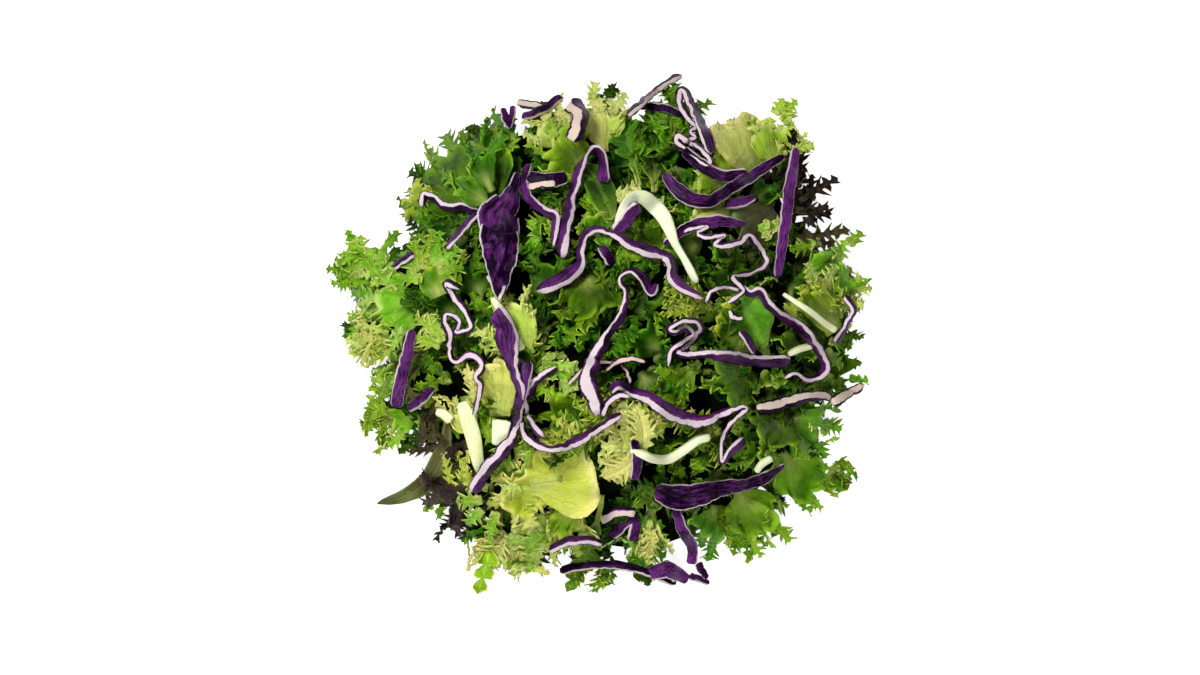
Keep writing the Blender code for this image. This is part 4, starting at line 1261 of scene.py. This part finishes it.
def leaf_relief_group():
    """Leaf surface shared by every leaf: vein and rib masks, mottling and relief."""
    labels = ("Vein", "Pale", "Shade", "Tint", "Margin", "Mottle", "Height")
    group, nodes, out = new_group("LeafSurface", [(label, "NodeSocketFloat") for label in labels])
    place = nodes.add("ShaderNodeTexCoord").outputs["Object"]
    flat, parts, midrib = nodes.looks()
    phase = nodes.maths("FRACT", flat["X"])
    off = nodes.maths("ABSOLUTE", nodes.maths("SUBTRACT", phase, 0.5))
    off = nodes.maths("ADD", off, nodes.swing(nodes.noise(place, 260.0, 1.0), 0.22))
    wide = nodes.span(flat["Y"], 0.0, 1.0, 0.09, 0.04)
    beside = nodes.span(nodes.maths("DIVIDE", off, wide), 0.3, 1.0)
    lobe_vein = nodes.maths("SUBTRACT", 1.0, beside, clamp=True)
    lobe_vein = nodes.maths("MULTIPLY", lobe_vein, nodes.span(flat["Y"], 1.0, 0.55))
    middle = nodes.maths("MULTIPLY", nodes.span(flat["Y"], 0.26, 0.06), midrib)
    twig = nodes.maths("ADD", nodes.maths("MULTIPLY", flat["Y"], 7.0), nodes.maths("MULTIPLY", off, 9.0))
    twig = nodes.maths("ABSOLUTE", nodes.maths("SUBTRACT", nodes.maths("FRACT", twig), 0.5))
    twig = nodes.maths("MULTIPLY", nodes.span(twig, 0.10, 0.0), 0.35)
    vein = nodes.maths("MAXIMUM", nodes.maths("MAXIMUM", lobe_vein, middle), twig)
    blister = nodes.noise(place, 420.0, 2.0)
    grain = nodes.noise(place, 1500.0, 1.0)
    height = nodes.maths("ADD", nodes.maths("MULTIPLY", blister, 0.8), nodes.maths("MULTIPLY", grain, 0.12))
    height = nodes.maths("SUBTRACT", height, nodes.maths("MULTIPLY", vein, 0.35))
    nodes.put(out["Vein"], vein)
    nodes.put(out["Pale"], parts["Red"])
    nodes.put(out["Shade"], parts["Blue"])
    nodes.put(out["Tint"], parts["Green"])
    nodes.put(out["Margin"], nodes.span(flat["Y"], 0.80, 1.0))
    nodes.put(out["Mottle"], nodes.noise(place, 95.0, 3.0))
    nodes.put(out["Height"], height)
    return group


def leaf_material(name, stops, rib, glow, rough, translucent, shine):
    """Thin glossy leaf: coloured by its own shade, with pale veins and rib, lit through where it is thin."""
    group = bpy.data.node_groups.get("LeafSurface") or leaf_relief_group()
    material, nodes = new_material(name)
    surface = nodes.add("ShaderNodeGroup", node_tree=group).outputs
    mottle = nodes.swing(surface["Mottle"], nodes.span(surface["Shade"], 0.5, 1.0, 0.66, 0.20))
    value = nodes.maths("ADD", surface["Shade"], mottle)
    value = nodes.maths("ADD", value, nodes.maths("MULTIPLY", surface["Margin"], 0.22))
    value = nodes.maths("ADD", value, nodes.maths("MULTIPLY", surface["Vein"], 0.05), clamp=True)
    colour = nodes.ramp(value, stops)
    hue = nodes.span(surface["Tint"], 0.0, 1.0, 0.488, 0.522)
    colour = nodes.add("ShaderNodeHueSaturation", {"Hue": hue, "Color": colour}).outputs["Color"]
    share = nodes.maths("MAXIMUM", nodes.maths("MULTIPLY", surface["Pale"], 0.95),
                        nodes.maths("MULTIPLY", surface["Vein"], 0.09), clamp=True)
    colour = nodes.mixed(share, colour, rib)
    bump = nodes.add("ShaderNodeBump", {"Strength": 0.8, "Distance": 0.0014, "Height": surface["Height"]})
    skin = nodes.add("ShaderNodeBsdfPrincipled", {
        "Base Color": colour,
        "Roughness": nodes.span(surface["Mottle"], 0.2, 0.8, rough - 0.08, rough + 0.10),
        "Specular IOR Level": shine,
        "Normal": bump.outputs["Normal"],
    })
    light = nodes.mixed(0.30, colour, glow)
    through = nodes.add("ShaderNodeBsdfTranslucent", {"Color": light, "Normal": bump.outputs["Normal"]})
    mix = nodes.add("ShaderNodeMixShader", {"Fac": translucent, 1: skin.outputs[0], 2: through.outputs[0]})
    nodes.end(mix.outputs[0])
    return material


def strip_material(name, deep, bright, face, cream, skin_edge, rough):
    """Waxy skin on both sides of a strip, and pale wet flesh on its cut faces."""
    material, nodes = new_material(name)
    place = nodes.add("ShaderNodeTexCoord").outputs["Object"]
    flat, parts, share = nodes.looks()
    fine = nodes.noise(place, 900.0, 2.0)
    broad = nodes.noise(place, 110.0, 3.0)
    through = nodes.maths("ADD", nodes.maths("ABSOLUTE", flat["Y"]), nodes.swing(fine, 0.30))
    skin = nodes.span(through, skin_edge, skin_edge + 0.16)
    border = nodes.maths("ADD", nodes.maths("ABSOLUTE", flat["X"]), nodes.swing(fine, 0.10))
    lying = nodes.span(parts["Green"], 0.80, 0.95)
    outline = nodes.maths("MULTIPLY", lying, nodes.span(border, 0.90, 0.965))
    skin = nodes.maths("SUBTRACT", skin, outline, clamp=True)
    thin_rim = nodes.maths("MULTIPLY", nodes.span(through, 0.60, 0.74), nodes.span(border, 0.93, 0.99))
    thin_rim = nodes.maths("SUBTRACT", thin_rim, lying, clamp=True)
    skin = nodes.maths("MAXIMUM", skin, thin_rim)
    grain = nodes.add("ShaderNodeCombineXYZ", {
        "X": nodes.maths("MULTIPLY", flat["X"], 2.6), "Y": nodes.maths("MULTIPLY", share, 7.0)})
    streak = nodes.noise(grain.outputs[0], 1.5, 3.0, 0.6)
    # The skin wanders by noise between deep and bright colours: its own tone, and on the cabbage also painted
    # sheen.
    value = nodes.maths("ADD", nodes.maths("MULTIPLY", parts["Blue"], 0.45), nodes.swing(broad, 1.5))
    value = nodes.maths("ADD", value, nodes.swing(streak, 2.1), clamp=True)
    skin_colour = nodes.mixed(value, deep, bright)
    face_colour = nodes.mixed(parts["Red"], face, cream)
    speckle = nodes.span(fine, 0.55, 0.75, 0.0, 0.35)
    face_colour = nodes.mixed(speckle, face_colour, nodes.mixed(0.5, face_colour, bright))
    colour = nodes.mixed(skin, face_colour, skin_colour)
    bump = nodes.add("ShaderNodeBump", {"Strength": 0.4, "Distance": 0.0005, "Height": fine})
    wax = nodes.add("ShaderNodeBsdfPrincipled", {
        "Base Color": colour,
        "Roughness": nodes.span(skin, 0.0, 1.0, 0.55, rough),
        "Specular IOR Level": 0.07,
        "Subsurface Weight": 0.12,
        "Subsurface Radius": (0.0012, 0.0009, 0.0011),
        "Normal": bump.outputs["Normal"],
    })
    nodes.end(wax.outputs[0])
    return material


def colour_property(name, description, default):
    """A colour that a user can change."""
    return bpy.props.FloatVectorProperty(
        name=name, description=description, default=default, size=4, min=0.0, max=1.0, subtype="COLOR")


class SaladHeapSettings(bpy.types.PropertyGroup):
    """Sizes of the heap."""

    height: bpy.props.FloatProperty(
        name="Height", description="Height of the packed leaves at the middle",
        default=64 * MM, unit="LENGTH")
    core_drop: bpy.props.FloatProperty(
        name="Core depth", description="How far the dark core lies under the leaves",
        default=17 * MM, unit="LENGTH")
    lower_count: bpy.props.IntProperty(
        name="Lower leaves", description="Leaves under those that the photograph shows", default=80, min=0)
    middle_count: bpy.props.IntProperty(
        name="Middle leaves", description="Leaves between those that the photograph shows", default=78, min=0)
    sprig_count: bpy.props.IntProperty(
        name="Sprigs", description="Small bright tips between the larger leaves", default=45, min=0)
    deep_count: bpy.props.IntProperty(
        name="Deep leaves", description="Dark leaves under all the others", default=56, min=0)
    seed: bpy.props.IntProperty(name="Seed", description="Draw of the leaves' small differences", default=5)


class SaladColourSettings(bpy.types.PropertyGroup):
    """Colours of the leaves and shreds, linear."""

    # Shadow and deep green are the ramp's dark end, reached by the sunk leaves' dark shades: painted shade.
    shadow_green: colour_property("Shadow green", "Deepest leaf green", (0.005, 0.019, 0.002, 1.0))
    deep_green: colour_property("Deep green", "Green of the lower leaves", (0.021, 0.078, 0.002, 1.0))
    mid_green: colour_property("Middle green", "Green of most leaves", (0.125, 0.310, 0.003, 1.0))
    lime: colour_property("Lime", "Bright young leaves", (0.370, 0.680, 0.024, 1.0))
    yellow_lime: colour_property("Yellow lime", "Bright blanched leaves", (0.600, 0.760, 0.048, 1.0))
    pale_yellow: colour_property("Pale yellow", "Blanched heart leaves", (1.000, 0.965, 0.330, 1.0))
    rib: colour_property("Rib", "Leaf ribs and veins", (0.640, 0.740, 0.170, 1.0))
    red_brown: colour_property("Red brown", "Dark red leaves", (0.022, 0.008, 0.006, 1.0))
    cabbage_deep: colour_property("Cabbage skin", "Deep purple of the cabbage", (0.006, 0.0004, 0.010, 1.0))
    # The lighter violet is partly the skin's own bloom and partly painted sheen, laid in noise patches.
    cabbage_bloom_and_sheen: colour_property(
        "Cabbage bloom", "Violet where the skin is paler", (0.215, 0.040, 0.275, 1.0))
    cabbage_face: colour_property("Cabbage cut", "White cut faces", (0.640, 0.540, 0.600, 1.0))
    cream: colour_property("Cream cut", "Older, creamier cut faces", (0.620, 0.500, 0.400, 1.0))
    white_rib: colour_property("White rib", "Blanched ribs", (0.760, 0.800, 0.580, 1.0))
    stalk: colour_property("Stalk", "Yellow-green stalks", (0.640, 0.690, 0.200, 1.0))
    core: colour_property("Core", "Shade between the packed leaves", (0.004, 0.009, 0.002, 1.0))


class SaladStageSettings(bpy.types.PropertyGroup):
    """Floor and light."""

    floor: colour_property("Floor", "Plain pale floor", (0.45, 0.45, 0.45, 1.0))
    floor_glow: bpy.props.FloatProperty(
        name="Floor glow", description="Light of the floor itself, as on a light table", default=0.88)
    key_power: bpy.props.FloatProperty(
        name="Key light", description="Power of the soft light over the heap", default=9.9, unit="POWER")
    fill: bpy.props.FloatProperty(name="Surround", description="Strength of the white surround", default=0.05)


def green_material(name, glow=(0.45, 0.75, 0.03, 1.0), rough=0.34, translucent=0.30, shine=0.20,
                   blanched=False):
    """A green leaf finish, made once for each name. Blanched leaves are yellower where they are bright."""
    colours = bpy.context.scene.salad_colours
    lime = colours.yellow_lime if blanched else colours.lime
    shades = (colours.shadow_green, colours.deep_green, colours.mid_green, lime, colours.pale_yellow)
    stops = [(place, tuple(shade)) for place, shade in zip((0.0, 0.22, 0.48, 0.72, 1.0), shades)]
    return bpy.data.materials.get(name) or leaf_material(
        name, stops, tuple(colours.rib), glow, rough, translucent, shine)


class SALAD_OT_shade_core(bpy.types.Operator):
    """Dark core of painted shade: a near-black mass under the leaves where the packed heap lies in shade"""

    bl_idname = "salad.core"
    bl_label = "Core"

    def execute(self, context):
        settings = context.scene.salad_heap
        bm = bmesh.new()
        bmesh.ops.create_uvsphere(bm, u_segments=64, v_segments=32, radius=1.0)
        for vert in bm.verts:
            reach = float(rim_px(math.atan2(vert.co.y, vert.co.x))) * PIXEL * CORE_REACH
            flat = math.hypot(vert.co.x, vert.co.y)
            x, y = vert.co.x * reach, vert.co.y * reach
            top = float(heap_top(x, y)) - settings.core_drop
            lump = CORE_LUMP * math.sin(x / (9.0 * MM)) * math.sin(y / (11.0 * MM) + 1.0)
            high = max(top + lump, CORE_LEAST_HEIGHT) * (1.0 - flat ** 12)
            vert.co = (x, y, CORE_UNDERSIDE + (high if vert.co.z > 1e-6 else 0.0))
        bmesh.ops.remove_doubles(bm, verts=bm.verts, dist=0.01 * MM)
        bmesh.ops.dissolve_degenerate(bm, edges=bm.edges, dist=0.01 * MM)
        bmesh.ops.recalc_face_normals(bm, faces=bm.faces)
        mesh = bpy.data.meshes.new("heap_core")
        bm.to_mesh(mesh)
        bm.free()
        mesh.shade_smooth()
        material, nodes = new_material("PackedShade")
        # Near-black core colour with darker noise patches: painted shade between the packed leaves.
        place = nodes.add("ShaderNodeTexCoord").outputs["Object"]
        core = tuple(context.scene.salad_colours.core)
        darker = tuple(0.3 * value for value in core[:3]) + (1.0,)
        shader = nodes.add("ShaderNodeBsdfPrincipled", {
            "Base Color": nodes.mixed(nodes.noise(place, 120.0), darker, core), "Roughness": 0.9,
            "Specular IOR Level": 0.02})
        nodes.end(shader.outputs[0])
        mesh.materials.append(material)
        finished(bpy.data.objects.new("heap_core", mesh))
        return {"FINISHED"}


class SALAD_OT_lower(bpy.types.Operator):
    """Leaves under and between those that the photograph shows whole"""

    bl_idname = "salad.lower"
    bl_label = "Lower leaves"

    def execute(self, context):
        settings = context.scene.salad_heap
        rng = np.random.default_rng(settings.seed)
        # The deep and lower layers' dark shades are painted shade; their finish also shines less.
        dark = green_material("LowerLeaf", rough=0.45, translucent=0.22, shine=0.08)
        green = green_material("EndiveLeaf")
        layers = (
            ("deep_leaves", DEEP_SCATTER, settings.deep_count, dark, 4, ()),
            ("lower_leaves", LOWER_SCATTER, settings.lower_count, dark, 4, ()),
            ("middle_leaves", MIDDLE_SCATTER, settings.middle_count, green, 4, SHADED_GAP_LEAVES),
            ("leaf_sprigs", SPRIG_SCATTER, settings.sprig_count, green, 6, ()),
        )
        for name, scatter, count, material, rows, seen in layers:
            build = Build()
            for leaf in scattered(scatter, count, rng):
                add_leaf(build, leaf, rng, rows, rng.uniform())
            add_leaves(build, seen, settings.seed + 8, 6)
            build.piece(name, material, "green_leaf")
        return {"FINISHED"}


class SALAD_OT_endive(bpy.types.Operator):
    """Broad green endive leaves"""

    bl_idname = "salad.endive"
    bl_label = "Endive leaves"

    def execute(self, context):
        seed = context.scene.salad_heap.seed + 1
        build = Build()
        add_leaves(build, ENDIVE_LEAVES, seed, 8)
        build.piece("endive_leaves", green_material("EndiveLeaf"), "green_leaf")
        lobes = Build()
        add_leaves(lobes, CLEAR_LOBES, seed, 6)
        lobes.piece("clear_lobes", green_material("EndiveLeaf"), "green_leaf")
        return {"FINISHED"}


class SALAD_OT_frisee(bpy.types.Operator):
    """Pale curly frisee leaves and heads of fine fronds"""

    bl_idname = "salad.frisee"
    bl_label = "Frisee leaves"

    def execute(self, context):
        seed = context.scene.salad_heap.seed + 2
        material = green_material("FriseeLeaf", (0.78, 0.92, 0.10, 1.0), 0.42, 0.38, blanched=True)
        blades = Build()
        add_leaves(blades, FRISEE_LEAVES, seed, 9)
        blades.piece("frisee_leaves", material, "pale_leaf")
        curls = Build()
        rng = np.random.default_rng(seed)
        for frizz in FRIZZES:
            add_leaves(curls, fronds(frizz, rng), rng.integers(1000), 4)
        curls.piece("curly_fronds", material, "pale_leaf")
        return {"FINISHED"}


class SALAD_OT_lettuce(bpy.types.Operator):
    """Smooth bright lettuce leaves"""

    bl_idname = "salad.lettuce"
    bl_label = "Lettuce leaves"

    def execute(self, context):
        build = Build()
        add_leaves(build, LETTUCE_LEAVES, context.scene.salad_heap.seed + 3, 10)
        material = green_material("LettuceLeaf", (0.60, 0.85, 0.06, 1.0), 0.36, 0.34, blanched=True)
        build.piece("lettuce_leaves", material, "green_leaf")
        return {"FINISHED"}


class SALAD_OT_rocket(bpy.types.Operator):
    """Narrow cut leaves and smooth young leaves with a midrib"""

    bl_idname = "salad.rocket"
    bl_label = "Rocket leaves"

    def execute(self, context):
        build = Build()
        add_leaves(build, ROCKET_LEAVES, context.scene.salad_heap.seed + 4, 8)
        material = green_material("RocketLeaf", (0.20, 0.62, 0.06, 1.0), 0.42, 0.25)
        build.piece("rocket_leaves", material, "green_leaf")
        return {"FINISHED"}


class SALAD_OT_red(bpy.types.Operator):
    """Dark red and brown leaves"""

    bl_idname = "salad.red"
    bl_label = "Red leaves"

    def execute(self, context):
        colours = context.scene.salad_colours
        red = tuple(colours.red_brown)
        stops = (
            (0.0, tuple(0.4 * value for value in red[:3]) + (1.0,)),
            (0.25, red),
            (0.45, (0.085, 0.060, 0.018, 1.0)),
            (0.65, (0.150, 0.185, 0.045, 1.0)),
            (1.0, (0.300, 0.400, 0.120, 1.0)),
        )
        rib, glow = (0.20, 0.17, 0.06, 1.0), (0.22, 0.06, 0.03, 1.0)
        material = leaf_material("RedLeaf", stops, rib, glow, rough=0.40, translucent=0.18, shine=0.16)
        build = Build()
        add_leaves(build, RED_LEAVES, context.scene.salad_heap.seed + 5, 9)
        build.piece("red_leaves", material, "red_leaf")
        return {"FINISHED"}


class SALAD_OT_ribs(bpy.types.Operator):
    """Thick blanched ribs and stalks"""

    bl_idname = "salad.ribs"
    bl_label = "Ribs"

    def execute(self, context):
        colours = context.scene.salad_colours
        pale = tuple(colours.white_rib)
        yellow = tuple(colours.stalk)
        material = strip_material("BlanchedRib", pale, yellow, pale, yellow, 0.2, 0.36)
        build = Build()
        rng = np.random.default_rng(context.scene.salad_heap.seed + 6)
        trees = tops()
        for strip in RIBS:
            add_strip(build, strip, trees, rng, 0.12)
        build.piece("leaf_ribs", material, "pale_leaf")
        return {"FINISHED"}


class SALAD_OT_shreds(bpy.types.Operator):
    """Crinkled red cabbage shreds lying over the leaves"""

    bl_idname = "salad.shreds"
    bl_label = "Cabbage shreds"

    def execute(self, context):
        colours = context.scene.salad_colours
        material = strip_material(
            "CabbageShred", tuple(colours.cabbage_deep), tuple(colours.cabbage_bloom_and_sheen),
            tuple(colours.cabbage_face), tuple(colours.cream), 0.66, 0.42)
        build = Build()
        rng = np.random.default_rng(context.scene.salad_heap.seed + 7)
        trees = tops()
        for strip in SHREDS:
            add_strip(build, strip, trees, rng, 1.0)
        build.piece("cabbage_shreds", material, "cabbage")
        return {"FINISHED"}


class SALAD_OT_stage(bpy.types.Operator):
    """Plain pale floor, soft light and the camera straight over the heap"""

    bl_idname = "salad.stage"
    bl_label = "Stage"

    def execute(self, context):
        scene = context.scene
        stage = scene.salad_stage
        bm = bmesh.new()
        bmesh.ops.create_grid(bm, x_segments=1, y_segments=1, size=3.0)
        mesh = bpy.data.meshes.new("floor")
        bm.to_mesh(mesh)
        bm.free()
        material, nodes = new_material("PaleFloor")
        shader = nodes.add("ShaderNodeBsdfPrincipled", {
            "Base Color": tuple(stage.floor), "Roughness": 0.9, "Specular IOR Level": 0.1,
            "Emission Color": (1.0, 1.0, 1.0, 1.0), "Emission Strength": stage.floor_glow})
        nodes.end(shader.outputs[0])
        mesh.materials.append(material)
        floor = bpy.data.objects.new("floor", mesh)
        scene.collection.objects.link(floor)

        world = bpy.data.worlds.new("surround")
        world.use_nodes = True
        surround = Nodes(world.node_tree)
        back = surround.add("ShaderNodeBackground", {"Color": (1.0, 1.0, 1.0, 1.0), "Strength": stage.fill})
        surround.end(back.outputs[0], "ShaderNodeOutputWorld")
        scene.world = world

        self.lamp("key_light", (-0.34, 0.36, 0.88), 0.28, stage.key_power)
        self.lamp("front_light", (0.02, -0.58, 0.82), 0.40, stage.key_power * 0.52)

        camera_data = bpy.data.cameras.new("camera")
        camera_data.sensor_width = SENSOR_MM
        camera_data.lens = SENSOR_MM * VIEW_HEIGHT / (FRAME_PX * PIXEL)
        camera = bpy.data.objects.new("camera", camera_data)
        camera.location = (*spot(VIEW_CENTRE_PX, 0.0), VIEW_HEIGHT)
        scene.collection.objects.link(camera)
        scene.camera = camera
        scene.view_settings.view_transform = "Standard"
        return {"FINISHED"}

    def lamp(self, name, place, size, power):
        """A square soft light aimed at the middle of the heap."""
        data = bpy.data.lights.new(name, "AREA")
        data.size = size
        data.energy = power
        lamp = bpy.data.objects.new(name, data)
        lamp.location = place
        lamp.rotation_euler = (Vector((0.0, 0.0, 0.03)) - Vector(place)).to_track_quat("-Z", "Y").to_euler()
        bpy.context.scene.collection.objects.link(lamp)


OPERATORS = (
    SALAD_OT_shade_core,
    SALAD_OT_lower,
    SALAD_OT_endive,
    SALAD_OT_frisee,
    SALAD_OT_lettuce,
    SALAD_OT_rocket,
    SALAD_OT_red,
    SALAD_OT_ribs,
    SALAD_OT_shreds,
    SALAD_OT_stage,
)


class SALAD_PT_panel(bpy.types.Panel):
    """Every piece of the heap, in the order that they are made"""

    bl_label = "Salad heap"
    bl_space_type = "VIEW_3D"
    bl_region_type = "UI"
    bl_category = "Salad"

    def draw(self, context):
        """Lists the settings and the operators."""
        for group in (context.scene.salad_heap, context.scene.salad_colours, context.scene.salad_stage):
            box = self.layout.box()
            for name in group.bl_rna.properties.keys():
                if name not in ("rna_type", "name"):
                    box.prop(group, name)
        for operator in OPERATORS:
            self.layout.operator(operator.bl_idname)


CLASSES = (SaladHeapSettings, SaladColourSettings, SaladStageSettings) + OPERATORS + (SALAD_PT_panel,)


def register():
    """Adds the operators, the panel and the settings."""
    for entry in CLASSES:
        bpy.utils.register_class(entry)
    bpy.types.Scene.salad_heap = bpy.props.PointerProperty(type=SaladHeapSettings)
    bpy.types.Scene.salad_colours = bpy.props.PointerProperty(type=SaladColourSettings)
    bpy.types.Scene.salad_stage = bpy.props.PointerProperty(type=SaladStageSettings)


def unregister():
    """Takes them away again."""
    del bpy.types.Scene.salad_stage
    del bpy.types.Scene.salad_colours
    del bpy.types.Scene.salad_heap
    for entry in reversed(CLASSES):
        bpy.utils.unregister_class(entry)


def main():
    """Builds every piece and the stage."""
    register()
    bpy.ops.salad.core()
    bpy.ops.salad.lower()
    bpy.ops.salad.endive()
    bpy.ops.salad.frisee()
    bpy.ops.salad.lettuce()
    bpy.ops.salad.rocket()
    bpy.ops.salad.red()
    bpy.ops.salad.ribs()
    bpy.ops.salad.shreds()
    bpy.ops.salad.stage()


if __name__ == "__main__":
    main()
